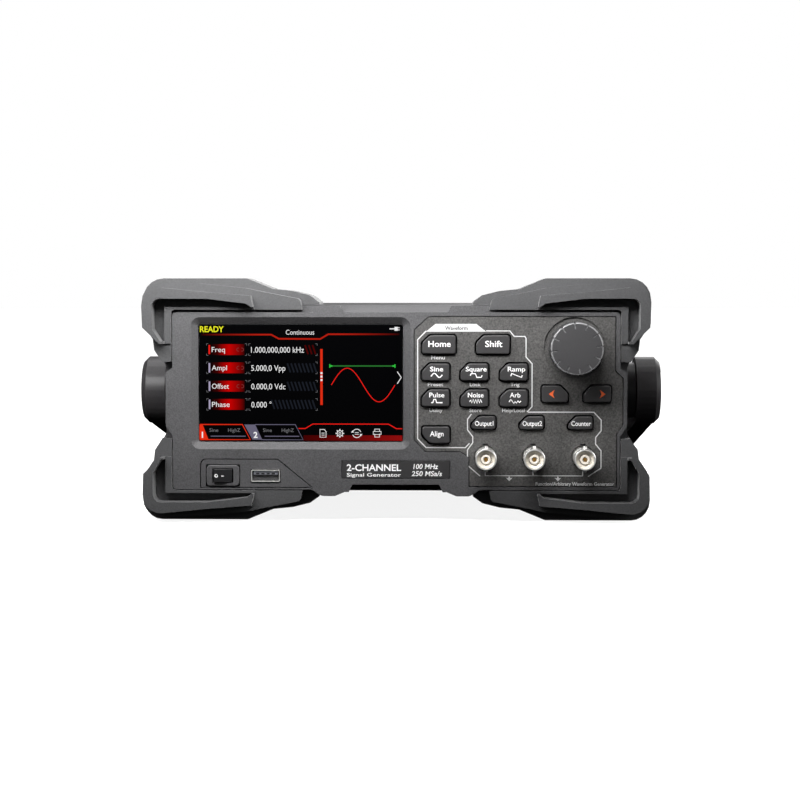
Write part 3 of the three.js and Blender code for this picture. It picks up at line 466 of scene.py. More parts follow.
# %% [markdown]
# ## Placing, joining and carving
# A piece is drawn at the origin and then stood up at its place. Two shapes become one through a
# mesh that carries the second across. A hollow that no operator gives is cut with an exact
# boolean, whose cutters may overlap one another.

# %% Placing, joining and carving
def stood(bm, place):
    bmesh.ops.transform(bm, matrix=place, verts=bm.verts)
    return bm


def added(target, source, place=None):
    """Moves one bmesh's shape into another."""
    if place is not None:
        stood(source, place)
    carrier = bpy.data.meshes.new("carrier")
    source.to_mesh(carrier)
    source.free()
    target.from_mesh(carrier)
    bpy.data.meshes.remove(carrier)


def carved(bm, cutter):
    """The first shape with the second cut out of it, by an exact boolean."""
    objects = []
    for shape in (bm, cutter):
        mesh = bpy.data.meshes.new("carving")
        shape.to_mesh(mesh)
        shape.free()
        objects.append(bpy.data.objects.new("carving", mesh))
        bpy.context.scene.collection.objects.link(objects[-1])
    block, tool = objects
    change = block.modifiers.new("carve", "BOOLEAN")
    change.operation, change.solver, change.object = "DIFFERENCE", "EXACT", tool
    change.use_self = True
    result = bmesh.new()
    result.from_object(block, bpy.context.evaluated_depsgraph_get())
    for item in objects:
        bpy.data.objects.remove(item)
    return result


print("piece helpers ready")

# %% [markdown]
# ## The font's own measure
# A word is sized by the height of its capitals, which a font gives only as a share of its size.
# So one capital is made into a mesh, measured and thrown away.

# %% Height of a capital
def cap_height_of_font():
    letter = bpy.data.curves.new("letter", "FONT")
    letter.body = "H"
    holder = bpy.data.objects.new("letter", letter)
    mesh = bpy.data.meshes.new_from_object(holder)
    height = max(v.co.y for v in mesh.vertices) - min(v.co.y for v in mesh.vertices)
    bpy.data.meshes.remove(mesh)
    bpy.data.objects.remove(holder)
    return height


FONT_CAP = cap_height_of_font()
print("font capitals are", round(FONT_CAP, 3), "of its size")

# %% [markdown]
# ## Artwork
# Words, lines and filled patches are gathered flat, in millimetres, and laid on the panel as one
# thin film of ink or light. Words are Blender's own font made into a mesh. A line is a curve
# with a round section, flattened: the curve mitres its own corners, which loose quads would not.

# %% Artwork
FILM = 0.02


class Artwork:
    def __init__(self):
        self.bm = bmesh.new()

    def words(self, text, x, z, cap, width=None, weight=0.0, align="CENTER", slant=0.0):
        """Words whose capitals are `cap` high and centred on z, squeezed or spread to a width."""
        letters = bpy.data.curves.new("words", "FONT")
        letters.body, letters.offset, letters.shear = text, weight, slant
        letters.resolution_u, letters.extrude = 3, FILM
        holder = bpy.data.objects.new("words", letters)
        flat = bpy.data.meshes.new_from_object(holder)
        bpy.data.objects.remove(holder)
        bpy.data.curves.remove(letters)
        left = min(v.co.x for v in flat.vertices)
        natural = max(v.co.x for v in flat.vertices) - left
        tall = cap / FONT_CAP
        spread = width / natural if width else tall
        anchor = left + {"LEFT": 0.0, "CENTER": 0.5, "RIGHT": 1.0}[align] * natural
        flat.transform(Matrix.Translation((x, z - cap / 2, 0))
                       @ Matrix.Diagonal((spread, tall, 1, 1))
                       @ Matrix.Translation((-anchor, 0, 0)))
        self.bm.from_mesh(flat)
        bpy.data.meshes.remove(flat)
        return self

    def line(self, points, width=0.5, closed=False):
        stroke = bpy.data.curves.new("stroke", "CURVE")
        stroke.dimensions = "3D"
        stroke.bevel_depth, stroke.bevel_resolution, stroke.use_fill_caps = width / 2, 1, True
        spline = stroke.splines.new("POLY")
        spline.points.add(len(points) - 1)
        for point, (x, z) in zip(spline.points, points):
            point.co = (x, z, 0, 1)
        spline.use_cyclic_u = closed
        holder = bpy.data.objects.new("stroke", stroke)
        flat = bpy.data.meshes.new_from_object(holder)
        flat.transform(Matrix.Diagonal((1, 1, 2 * FILM / width, 1)))
        self.bm.from_mesh(flat)
        bpy.data.meshes.remove(flat)
        bpy.data.objects.remove(holder)
        bpy.data.curves.remove(stroke)
        return self

    def patch(self, corners):
        face = self.bm.faces.new([self.bm.verts.new((x, z, 0)) for x, z in corners])
        raised = bmesh.ops.extrude_face_region(self.bm, geom=[face])["geom"]
        verts = [item for item in raised if isinstance(item, bmesh.types.BMVert)]
        bmesh.ops.translate(self.bm, vec=(0, 0, FILM), verts=verts)
        bmesh.ops.recalc_face_normals(self.bm, faces=list({f for v in verts for f in v.link_faces}))
        return self

    def box(self, x0, x1, z0, z1):
        return self.patch([(x0, z0), (x1, z0), (x1, z1), (x0, z1)])

    def ring(self, x, z, radius, width, sides=24, start=0.0, sweep=360.0):
        turns = [math.radians(start + sweep * i / sides) for i in range(sides + (sweep < 360))]
        points = [(x + radius * math.cos(turn), z + radius * math.sin(turn)) for turn in turns]
        return self.line(points, width, closed=sweep >= 360)

    def laid(self, name, place, body, slot, finish):
        made = finished(stood(self.bm, place), name, body, slot, finish)
        print(f"{name}: {len(made.data.polygons)} faces")
        return made


print("films are", FILM, "mm thick")

# %% [markdown]
# ## The moulded front and its two inset panels
# The front is one moulding with a crest, side wings and a bevelled window. Two flat panels sit in
# shallow pockets in it. Their outlines are already right in the measured model, so each is a
# softened copy: small bevels for the moulding, smaller ones for the stamped panels.

# %% Front moulding and panels
# node, piece, slot, finish, bevel in millimetres, bevel segments
front_parts = [
    ("front_bezel", "moulded_front", "moulding", front_plastic, 0.35, 2),
    ("keypad_panel", "keypad_overlay", "panel", overlay_plastic, 0.12, 1),
    ("switch_panel", "switch_plate", "moulding", front_plastic, 0.2, 2),
    ("nameplate", "nameplate_film", "panel", nameplate_film, 0.1, 1),
]
for node, piece, slot, finish, bevel, segments in front_parts:
    made = finished(softened(node, bevel, segments), piece, "root", slot, finish, stands_for=[node])
    print(piece, "faces:", len(made.data.polygons))

# %% [markdown]
# ## Keys
# Each key is a satin cap with one corner cut off and a soft rim, standing through the panel with a
# thin dark gap round it. The cap is a slab whose corner is cut by a vertex bevel. Its size comes
# from the measured node, less the hidden flange that keeps the cap in. Each cap rides on its own
# body, and so does its legend, so the print moves in with the key.

# %% Key caps
FLANGE, CUT, CAP_CORNER, CAP_RIM, SHADOW_GAP = 0.8, 3.6, 1.1, 0.5, 0.25
CAP_BEHIND = 2.6

UPPER_LEFT, LOWER_LEFT, UPPER_RIGHT = (-1, 1), (-1, -1), (1, 1)
cut_corners = {"key_align": LOWER_LEFT, "key_left": UPPER_RIGHT}
keys = [node for node in frame["nodes"] if node.startswith("key_")]


def key_cap(node):
    x, z, width, height, depth = front_box(node)
    thickness = CAP_BEHIND - depth
    inset = 2 * (FLANGE + SHADOW_GAP)
    bm = slab(width - inset, height - inset, thickness, CAP_CORNER, CAP_RIM,
              cut_corners.get(node, UPPER_LEFT), CUT)
    place = on_front(x, z, CAP_BEHIND)
    return finished(stood(bm, place), node.replace("key", "cap"), node, "key_cap", cap_plastic,
                    stands_for=[node])


for node in keys:
    key_cap(node)
print("key caps:", len(keys))

# %% [markdown]
# ## Legends on the keys
# A word stands on every key but the arrows, and on the six wave keys a small trace is printed
# under it. The traces are short lists of the few points that a printer's drawing would have,
# except the sine, which is a formula.

# %% Key legends
SINE_STEPS, SINE_TURNS, SINE_START = 14, 1.12, -0.5
sine_trace = [(-2.6 + 5.2 * i / SINE_STEPS,
               0.95 * math.sin(2 * math.pi * SINE_TURNS * i / SINE_STEPS + SINE_START))
              for i in range(SINE_STEPS + 1)]
traces = {
    "key_sine": sine_trace,
    "key_square": [(-2.7, -0.1), (-2.3, 0.8), (-0.4, 0.8), (0.3, -0.9), (2.3, -0.9), (2.7, 0)],
    "key_ramp": [(-2.6, -0.3), (-2.2, 0.9), (2.3, -0.9), (2.6, 0.1)],
    "key_pulse": [(-2.6, -0.6), (-1.8, -0.6), (-1.4, 0.9), (-0.5, 0.9), (-0.1, -0.6), (2.6, -0.6)],
    "key_noise": [(-2.8, -0.1), (-2.2, 0.6), (-1.8, -0.8), (-1.1, 0.9), (-0.6, -0.9), (0, 0.8),
                  (0.6, -0.9), (1.1, 0.9), (1.7, -0.7), (2.2, 0.8), (2.8, -0.5)],
    "key_arb": [(-2.8, -0.2), (-1.9, 0.9), (-0.6, -0.9), (0, -0.1), (0.6, -0.8), (1.3, 0.3),
                (2, -0.5), (2.7, 0.2)],
}
# word, its middle from the key's middle across and up, capital height, width
key_words = {
    "key_home": ("Home", 0.3, 0.3, 2.6, 10.2), "key_shift": ("Shift", 0.4, 0.3, 2.7, 7.9),
    "key_sine": ("Sine", 0.5, 1.4, 2.1, 6.0), "key_square": ("Square", 0.8, 1.4, 2.1, 9.6),
    "key_ramp": ("Ramp", 1.2, 1.4, 2.1, 8.0), "key_pulse": ("Pulse", 0.6, 1.4, 2.1, 6.9),
    "key_noise": ("Noise", 0.6, 1.4, 2.1, 7.2), "key_arb": ("Arb", 0.6, 1.4, 2.1, 4.9),
    "key_align": ("Align", 0.4, 0.6, 2.3, 6.3),
    "key_output_1": ("Output1", 0.3, -0.3, 2.1, 8.5),
    "key_output_2": ("Output2", 0.3, -0.3, 2.1, 8.9),
    "key_counter": ("Counter", 0.3, -0.3, 2.1, 9.0),
}
TRACE_DROP, TRACE_WIDTH, WORD_WEIGHT = 1.5, 0.5, 0.012
ARROW = [(1.3, 0), (-1.3, 1.95), (-0.6, 0), (-1.3, -1.95)]


def legend_place(node):
    x, z, _, _, depth = front_box(node)
    return on_front(x, z, depth)


for node, (word, across, up, capital, width) in key_words.items():
    art = Artwork().words(word, across, up, capital, width, WORD_WEIGHT)
    if node in traces:
        art.line([(x + across, z - TRACE_DROP) for x, z in traces[node]], TRACE_WIDTH)
    art.laid(node.replace("key", "legend"), legend_place(node), node, "key_cap", white_ink)

for node, across, side in [("key_left", -1.5, -1), ("key_right", 2.4, 1)]:
    art = Artwork().patch([(across + side * x, z) for x, z in ARROW][::side])
    art.laid(node.replace("key", "arrow"), legend_place(node), node, "key_cap", orange_ink)

# %% [markdown]
# ## Lines and labels on the keypad panel
# White lines lead from the keys to the sockets that they work on, a white tab names the wave keys,
# and small grey words give each key's second use. They are one film each, so that one ink can be
# changed without the other.

# %% Panel print
LINE = 0.5
PANEL_DEPTH = front_box("keypad_panel")[4]
SOCKETS = {name: front_box(f"bnc_shell_{name}")[0] for name in ("output_1", "output_2", "counter")}
SOCKET_Z = front_box("bnc_shell_counter")[1]
GROUND_LINE, GROUND_RISE = -34.6, 2

outlines = [
    [(41.4, 31.9), (52.3, 31.9), (54.3, 29.4), (59.1, 29.4), (59.7, 28.5), (59.7, 20), (62.5, 16.9),
     (62.5, -2.8), (60.3, -5.2)],
    [(14, 31.9), (10.1, 27.9), (10.1, -17.7), (14, -21.7), (32, -21.7), (33.9, -19.7)],
    [(60.7, -5.3), (90.8, -5.3), (94.2, -8.9), (94.2, -13.8), (91.7, -16.9), (91.7, -20),
     (94.2, -23), (94.2, -31), (88.3, -34.9)],
    [(34.8, -6.2), (33, -8.6), (33, -13.5), (35.4, -16.6), (35.4, -19.4), (33, -22.7), (33, -29.8),
     (38.8, -34.8)],
    [(SOCKETS["output_1"], GROUND_LINE + GROUND_RISE), (SOCKETS["output_1"], GROUND_LINE),
     (SOCKETS["counter"], GROUND_LINE), (SOCKETS["counter"], GROUND_LINE + GROUND_RISE)],
    [(SOCKETS["output_2"], GROUND_LINE), (SOCKETS["output_2"], GROUND_LINE + GROUND_RISE)],
]
panel_lines = Artwork()
for outline in outlines:
    panel_lines.line(outline, LINE)
GROUND_ARROW = [(0, -2.5), (1.5, -0.9), (0.5, -1.1), (0, 0), (-0.5, -1.1), (-1.5, -0.9)]
for x in (52.2, 74.5):
    panel_lines.patch([(x + across, GROUND_LINE + up) for across, up in GROUND_ARROW])
panel_lines.laid("panel_lines", on_front(0, 0, PANEL_DEPTH), "root", "panel", line_ink)

tab = Artwork().patch([(14, 31.6), (41.4, 31.6), (36.9, 35.1), (18.3, 35.1)])
tab.laid("wave_tab", on_front(0, 0, PANEL_DEPTH), "root", "panel", line_ink)
tab_word = Artwork().words("Waveform", 27.8, 33.2, 1.7, 10.4, 0.02)
in_front_of_tab = on_front(0, 0, PANEL_DEPTH - 2 * FILM)
tab_word.laid("wave_tab_word", in_front_of_tab, "root", "panel", word_ink)

LABEL_CAPITAL, LABEL_WEIGHT = 1.6, 0.014
labels = [("Menu", 19.4, 19.7, 6.3), ("Preset", 18.3, 7.4, 7.1), ("Lock", 36.5, 7.4, 5.1),
          ("Trig", 54.7, 7.4, 4.1), ("Utility", 18.5, -4.5, 6.0), ("Store", 36.6, -4.5, 5.6),
          ("Help/Local", 54.0, -4.5, 10.3)]
panel_labels = Artwork()
for word, x, z, width in labels:
    panel_labels.words(word, x, z, LABEL_CAPITAL, width, LABEL_WEIGHT)
label_ink = ink("label ink", (0.62, 0.62, 0.62))
panel_labels.laid("panel_labels", on_front(0, 0, PANEL_DEPTH), "root", "panel", label_ink)
footer = Artwork().words("Function/Arbitrary Waveform Generator", 82.3, -38.3, 1.5, 36, 0.02)
footer.laid("panel_footer", on_front(0, 0, PANEL_DEPTH), "root", "panel", line_ink)

# %% [markdown]
# ## Nameplate
# A thin film in a pocket under the display. It carries only plain words and the two figures that
# say what the instrument can do.

# %% Nameplate print
plate_x, plate_z, _, _, plate_depth = front_box("nameplate")
plate_art = Artwork()
plate_art.words("2-CHANNEL", -22.6 + plate_x, plate_z + 0.9, 2.9, 25, 0.02, "LEFT")
plate_art.words("Signal Generator", -22.6 + plate_x, plate_z - 2.4, 1.6, 25, 0.01, "LEFT")
plate_art.words("100 MHz", 8.0 + plate_x, plate_z + 1.5, 2.2, 11.5, 0.015, "LEFT", slant=0.15)
plate_art.words("250 MSa/s", 7.2 + plate_x, plate_z - 1.8, 2.2, 14.0, 0.015, "LEFT", slant=0.15)
plate_art.laid("nameplate_print", on_front(0, 0, plate_depth), "root", "panel", white_ink)

# %% [markdown]
# ## The knob
# A turned cap with a flat face and a chamfer round it. Twelve flutes run down its side, and
# at each one a short notch is cut across the rim. The chamfer and the notch walls are a light
# grey, a painted highlight for the glint of light on them. The cap is a spun profile; the flutes
# and the notches are thin blocks laid in a circle and cut out together with one boolean, which
# keeps them crisp. A displaced cylinder would need far more faces and still look soft. A bore
# from behind leaves room for the encoder's shaft, which turns with the cap.

# %% Knob
KNOB_X, KNOB_Z, KNOB_WIDTH, _, KNOB_FRONT = front_box("knob")
KNOB_RADIUS, KNOB_HEIGHT = KNOB_WIDTH / 2, 18.6
CHAMFER, NOTCH_LENGTH, NOTCH_WIDTH, NOTCH_DEPTH = 0.45, 3.1, 0.55, 0.35
FLUTES, FIRST_FLUTE, FLUTE_WIDTH, FLUTE_DEPTH = 12, 6.0, 0.9, 0.45
SHAFT_BORE, BORE_DEPTH, SKIRT_WALL, SKIRT_DEPTH = 3.3, 12.8, 1.5, 1.2


def knob_cutters():
    cutters = bmesh.new()
    for number in range(FLUTES):
        turn = Matrix.Rotation(math.radians(FIRST_FLUTE + number * 360 / FLUTES), 4, "Z")
        notch_floor = KNOB_HEIGHT - NOTCH_DEPTH
        blocks = [
            (KNOB_RADIUS - NOTCH_LENGTH, NOTCH_WIDTH, notch_floor, 2 * NOTCH_DEPTH + 1),
            (KNOB_RADIUS - FLUTE_DEPTH, FLUTE_WIDTH, -1, KNOB_HEIGHT + 3),
        ]
        for start, wide, low, tall in blocks:
            long = KNOB_RADIUS + 2 - start
            size = Matrix.Translation((start + long / 2, 0, low + tall / 2)) @ Matrix.Diagonal(
                (long, wide, tall, 1))
            bmesh.ops.create_cube(cutters, size=1, matrix=turn @ size)
    return cutters


def knob_cap():
    skirt_inner = KNOB_RADIUS - SKIRT_WALL
    face = [(0, KNOB_HEIGHT), (KNOB_RADIUS - CHAMFER - 0.3, KNOB_HEIGHT),
            (KNOB_RADIUS - CHAMFER, KNOB_HEIGHT - 0.12), (KNOB_RADIUS - 0.1, KNOB_HEIGHT - CHAMFER),
            (KNOB_RADIUS, 0), (skirt_inner, 0), (skirt_inner, SKIRT_DEPTH),
            (SHAFT_BORE, SKIRT_DEPTH), (SHAFT_BORE, BORE_DEPTH), (0, BORE_DEPTH)]
    bm = carved(turned(face, 96), knob_cutters())
    for part in bm.faces:
        middle = part.calc_center_median()
        reach = math.hypot(middle.x, middle.y)
        on_rim = 0.3 < part.normal.z < 0.9 and middle.z > KNOB_HEIGHT - CHAMFER - 0.05
        sunk = 0.02 < KNOB_HEIGHT - middle.z < NOTCH_DEPTH + 0.01
        in_notch = sunk and reach > KNOB_RADIUS - NOTCH_LENGTH - 0.1
        # The rim chamfer and the notch walls take the second finish, the painted highlight.
        part.material_index = int(on_rim or in_notch)
    return bm


knob_cap_piece = finished(stood(knob_cap(), on_front(KNOB_X, KNOB_Z, KNOB_FRONT + KNOB_HEIGHT)),
                          "knob_cap", "knob", "knob", knob_plastic, knob_painted_highlight,
                          stands_for=["knob"], smooth_below=25)
print("knob faces:", len(knob_cap_piece.data.polygons))

# %% [markdown]
# ## Coaxial sockets
# Each socket is a nickel barrel with two bayonet lugs, a stepped inner sleeve, a cream insulator
# and a gold contact with a hole in it. All were turned on a lathe, so all are spun profiles. Each
# profile is drawn from the socket's tail, because the barrel, the insulator and the contact all
# end at a different height. The barrel and its lugs come first.

# %% Socket barrels
SOCKET_OUTER, SOCKET_BORE, LUG, LUG_REACH, LUG_LENGTH, LUG_FROM_RIM = 4.85, 4.2, 0.95, 5.9, 1.6, 4
CORE, PIN, PIN_HOLE, SOCKET_TAIL = 2.3, 0.85, 0.42, 12.0


def socket_shell(rim):
    long = SOCKET_TAIL + rim
    return turned([
        (SOCKET_BORE, long), (SOCKET_BORE + 0.15, long), (SOCKET_OUTER - 0.2, long),
        (SOCKET_OUTER, long - 0.2), (SOCKET_OUTER, long - 6.6), (SOCKET_OUTER - 0.35, long - 6.9),
        (SOCKET_OUTER - 0.35, long - 7.5), (SOCKET_OUTER, long - 7.8), (SOCKET_OUTER, 0),
        (CORE + 0.3, 0), (CORE + 0.3, long - 9.5), (SOCKET_BORE - 0.6, long - 9.5),
        (SOCKET_BORE - 0.6, long - 3.2), (SOCKET_BORE, long - 2.6), (SOCKET_BORE, long),
    ], 64)


def lug(turn_degrees, height):
    """A round bayonet lug, standing out of the barrel."""
    bm = bmesh.new()
    bmesh.ops.create_cone(bm, cap_ends=True, segments=24, radius1=LUG, radius2=LUG * 0.94,
                          depth=LUG_LENGTH)
    bevelled = [e for e in sharp_edges(bm) if all(v.co.z > 0 for v in e.verts)]
    rounded_edges(bm, bevelled, 0.15, 2)
    place = Matrix.Rotation(math.radians(turn_degrees), 4, "Z") @ Matrix.Translation(
        (LUG_REACH - LUG_LENGTH / 2, 0, height)) @ Matrix.Rotation(math.radians(90), 4, "Y")
    return stood(bm, place)


def barrel(name, place, rim):
    shell = socket_shell(rim)
    for turn in (90, 270):
        added(shell, lug(turn, SOCKET_TAIL + rim - LUG_FROM_RIM))
    finished(stood(shell, place), f"socket_{name}", "root", "nickel", nickel,
             stands_for=[f"bnc_shell_{name}"])


print("barrel", 2 * SOCKET_OUTER, "mm across, lugs out to", 2 * LUG_REACH, "mm")

# %% [markdown]
# Inside the barrel are two cream rings, one against the wall and one round the contact, and
# the contact itself, which is a gold tube with a closed foot.

# %% Insulators and contacts
def insulator(name, place, rim):
    long = SOCKET_TAIL + rim - 1
    bm = turned([(PIN + 0.25, long - 0.25), (PIN + 0.5, long), (CORE - 0.35, long),
                 (CORE, long - 0.35), (CORE, 0), (PIN + 0.25, 0), (PIN + 0.25, long - 0.25)], 48)
    finished(stood(bm, place), f"insulator_{name}", "root", "insulator", cream,
             stands_for=[f"bnc_insulator_{name}"])
    sleeve = turned([(SOCKET_BORE - 0.08, long - 0.2), (SOCKET_BORE - 0.08, long - 1.8),
                     (SOCKET_BORE - 0.75, long - 1.9), (SOCKET_BORE - 0.75, long - 7),
                     (CORE + 0.1, long - 7), (CORE + 0.1, long - 6.5), (CORE + 0.25, long - 6.5),
                     (CORE + 0.25, long - 1.0), (SOCKET_BORE - 0.9, long - 0.5),
                     (SOCKET_BORE - 0.08, long - 0.2)], 48)
    # The sleeve's darker cream is painted shade, for the shade down in the bore.
    finished(stood(sleeve, place), f"sleeve_{name}", "root", "insulator", shaded_sleeve_cream)


def contact(name, place, rim):
    tip = rim + SOCKET_TAIL - 1.6
    pin = turned([(PIN_HOLE, tip), (PIN - 0.08, tip), (PIN, tip - 0.1), (PIN, -2), (0, -2),
                  (0, tip - 3), (PIN_HOLE, tip - 3), (PIN_HOLE, tip)], 24)
    finished(stood(pin, place), f"contact_{name}", "root", "contact", gold,
             stands_for=[f"bnc_contact_{name}"])


print("contact", 2 * PIN, "mm across with a hole of", 2 * PIN_HOLE, "mm")

# %% [markdown]
# The three sockets stand in a row on the panel. Over each one the panel has a short slot that
# keys the socket's flange, and a dark patch just under the surface is its floor: painted shade
# for the shade down in the slot.

# %% Sockets in place
KEYING_HALF, KEYING_LOW, KEYING_HIGH, KEYING_SUNK = 1.3, 5.3, 6.2, 1.2
in_the_slot = on_front(0, 0, PANEL_DEPTH + KEYING_SUNK)
for name, x in SOCKETS.items():
    rim = -front_box(f"bnc_shell_{name}")[4]
    for piece in (barrel, insulator, contact):
        piece(name, on_front(x, SOCKET_Z, SOCKET_TAIL), rim)
    # A dark film sunk in each slot: painted shade on the slot's floor.
    keying = Artwork().box(x - KEYING_HALF, x + KEYING_HALF, SOCKET_Z + KEYING_LOW,
                           SOCKET_Z + KEYING_HIGH)
    keying.laid(f"keying_slot_{name}", in_the_slot, "root", "panel", dark_rubber_and_shade)
print("sockets:", len(SOCKETS))

# %% [markdown]
# ## Power switch
# The rocker lies in a rounded frame, its left half standing flat and its right half sloping in.
# A ring and a bar are printed on the flat half. The frame is a slab with a second, smaller slab
# cut out of it. The marks ride on the rocker, so that they tip with it.

# %% Power switch
frame_x, frame_z, frame_width, frame_height, frame_depth = front_box("switch_housing")
FRAME_BEHIND, FRAME_MOUTH = 16.0, (9.8, 6.9)
frame_block = slab(frame_width, frame_height, FRAME_BEHIND - frame_depth, 1.9, 0.45)
frame_hollow = stood(slab(*FRAME_MOUTH, 30, 0.8), Matrix.Translation((0, 0, -5)))
switch_frame = stood(carved(frame_block, frame_hollow), on_front(frame_x, frame_z, FRAME_BEHIND))
finished(switch_frame, "switch_frame", "root", "dark_plastic", front_plastic,
         stands_for=["switch_housing"])
finished(softened("power_rocker", 0.3, 3, 12), "rocker_paddle", "rocker", "dark_plastic",
         black_plastic, stands_for=["power_rocker"])
rocker_x, rocker_z, _, _, rocker_depth = front_box("power_rocker")
marks = Artwork().ring(rocker_x - 2.9, rocker_z, 0.62, 0.32).line(
    [(rocker_x - 0.5, rocker_z - 0.1), (rocker_x + 0.8, rocker_z - 0.1)], 0.35)
marks.laid("rocker_marks", on_front(0, 0, rocker_depth), "rocker", "dark_plastic", white_ink)

# %% [markdown]
# ## Host port
# A folded bright shell stands round a pale tongue with four contacts. The contacts and a dark
# sheet behind the tongue are thin films: they lie deep in the shell, where a film holds up at
# any angle from which it can be seen. The contacts stand for the real thing; the dark sheet is
# painted shade, for the shade deep in the shell.

# %% Host port
finished(softened("usb_host_shell", 0.12, 2), "host_port_shell", "root", "nickel", nickel,
         stands_for=["usb_host_shell"])
finished(softened("usb_host_tongue", 0.15, 2), "host_port_tongue", "root", "insulator", slate_film,
         stands_for=["usb_host_tongue"])
port_x, port_z, _, _, port_depth = front_box("usb_host_tongue")
teeth = Artwork()
teeth.box(port_x - 5.4, port_x + 5.4, port_z - 0.84, port_z - 0.55)
for number in range(4):
    left = port_x - 4.4 + 2.4 * number
    teeth.box(left, left + 1.5, port_z - 0.5, port_z + 0.15)
teeth.laid("host_port_contacts", on_front(0, 0, port_depth), "root", "contact", dark_rubber_and_shade)
SHELL_WALL, HOLLOW_SUNK = 0.4, 0.9
shell_x, shell_z, shell_width, shell_height, _ = front_box("usb_host_shell")
half_width, half_height = shell_width / 2 - SHELL_WALL, shell_height / 2 - SHELL_WALL
# A dark sheet behind the tongue, sunk in the shell: painted shade.
hollow = Artwork().box(shell_x - half_width, shell_x + half_width,
                       shell_z - half_height, shell_z + half_height)
hollow.laid("host_port_hollow", on_front(0, 0, port_depth + HOLLOW_SUNK), "root", "dark_plastic",
            dark_rubber_and_shade)

# %% [markdown]
# ## The display
# The window is one sheet of dark glass. Everything it shows is drawn as light just in front of
# the glass, in the order in which a screen paints it: fields first, then frames, then words. Each
# layer lies a hair in front of the last, so that no two surfaces share a plane and flicker.

# %% Display glass and layers
finished(softened("lcd_glass", 0.12, 1), "display_glass", "root", "window", window_glass,
         stands_for=["lcd_glass"])
GLASS_DEPTH = front_box("lcd_glass")[4]
FIELD, FRAME, WORD = 1, 2, 3
LAYER = 1.5 * FILM


def lit(art, name, layer, finish):
    return art.laid(name, on_front(0, 0, GLASS_DEPTH - layer * LAYER), "root", "window", finish)


field_fade = [(0.0, (0.0, 0.0, 0.0)), (0.2, (0.04, 0.0, 0.0)), (0.55, (0.55, 0.0, 0.0)),
              (0.7, (0.36, 0.0, 0.0)), (1.0, (0.03, 0.0, 0.0))]
header_fade = [(0.0, (0.02, 0.0, 0.0)), (0.3, (0.45, 0.012, 0.004)), (0.7, (0.45, 0.012, 0.004)),
               (1.0, (0.02, 0.0, 0.0))]
band_fade = [(0.0, (0.05, 0.0, 0.0)), (0.5, (0.12, 0.002, 0.002)), (1.0, (0.26, 0.004, 0.004))]
LABEL_LEFT, LABEL_RIGHT, VALUE_LEFT, VALUE_RIGHT, ROW_HEIGHT = -85.4, -69.8, -67.8, -36.2, 5.0
BAR_LEFT, BAR_RIGHT = -86.4, -85.6
HEADER_LEFT, HEADER_RIGHT = -89.6, 1.7
row_red = fading_glow("row field light", LABEL_LEFT, LABEL_RIGHT, field_fade)
header_red = fading_glow("header line light", HEADER_LEFT, HEADER_RIGHT, header_fade)
band_red = fading_glow("band light", -42.6, 3.0, band_fade)
tick_light = glow("tick light", (0.16, 0.16, 0.17))
hatch_light = glow("hatch light", (0.010, 0.012, 0.018))
hatch_red = glow("chosen hatch light", (0.06, 0.0, 0.0))
print("display face at depth", round(GLASS_DEPTH, 2), "mm")

# %% [markdown]
# The top line of the display has a stepped rule, the run mode, and the state of the instrument.

# %% Display header
header_rule = Artwork().line([(HEADER_LEFT, 30.1), (-57.4, 30.1), (-53.9, 28.2), (-34.8, 28.1),
                              (-31.1, 30.3), (HEADER_RIGHT, 30.3)], 0.75)
lit(header_rule, "display_header_rule", FIELD, header_red)
lit(Artwork().words("Continuous", -44.1, 31.2, 2.2, 13.1), "display_run_mode", WORD, white_light)
lit(Artwork().words("READY", -84.8, 32.6, 2.6, 11.0, 0.02), "display_state", WORD, yellow_light)
plug_sign = Artwork().line([(-2.9, 32.8), (-0.6, 32.8)], 0.5).box(-0.6, 0.9, 31.9, 33.7)
plug_sign.line([(0.9, 33.3), (1.8, 33.3)], 0.35).line([(0.9, 32.3), (1.8, 32.3)], 0.35)
lit(plug_sign, "display_link_sign", WORD, white_light)

# %% [markdown]
# Four rows give the setting of the first channel. Each has a red name field that fades at both
# ends, a value field between fine corner ticks, and a bar that marks the chosen row.

# %% Display rows
rows = [("Freq", 6.1, "1.000,000,000 kHz", 24.4, 23.2), ("Ampl", 7.0, "5.000,0 Vpp", 15.8, 14.8),
        ("Offset", 7.9, "0.000,0 Vdc", 15.8, 6.3), ("Phase", 8.2, "0.000 °", 9.3, -2.1)]


def corner_ticks(art, left, right, low, high, reach=0.8, width=0.22):
    for x, inward in ((left, 1), (right, -1)):
        for z, up in ((low, 1), (high, -1)):
            art.line([(x + inward * reach, z), (x, z), (x, z + up * reach)], width)


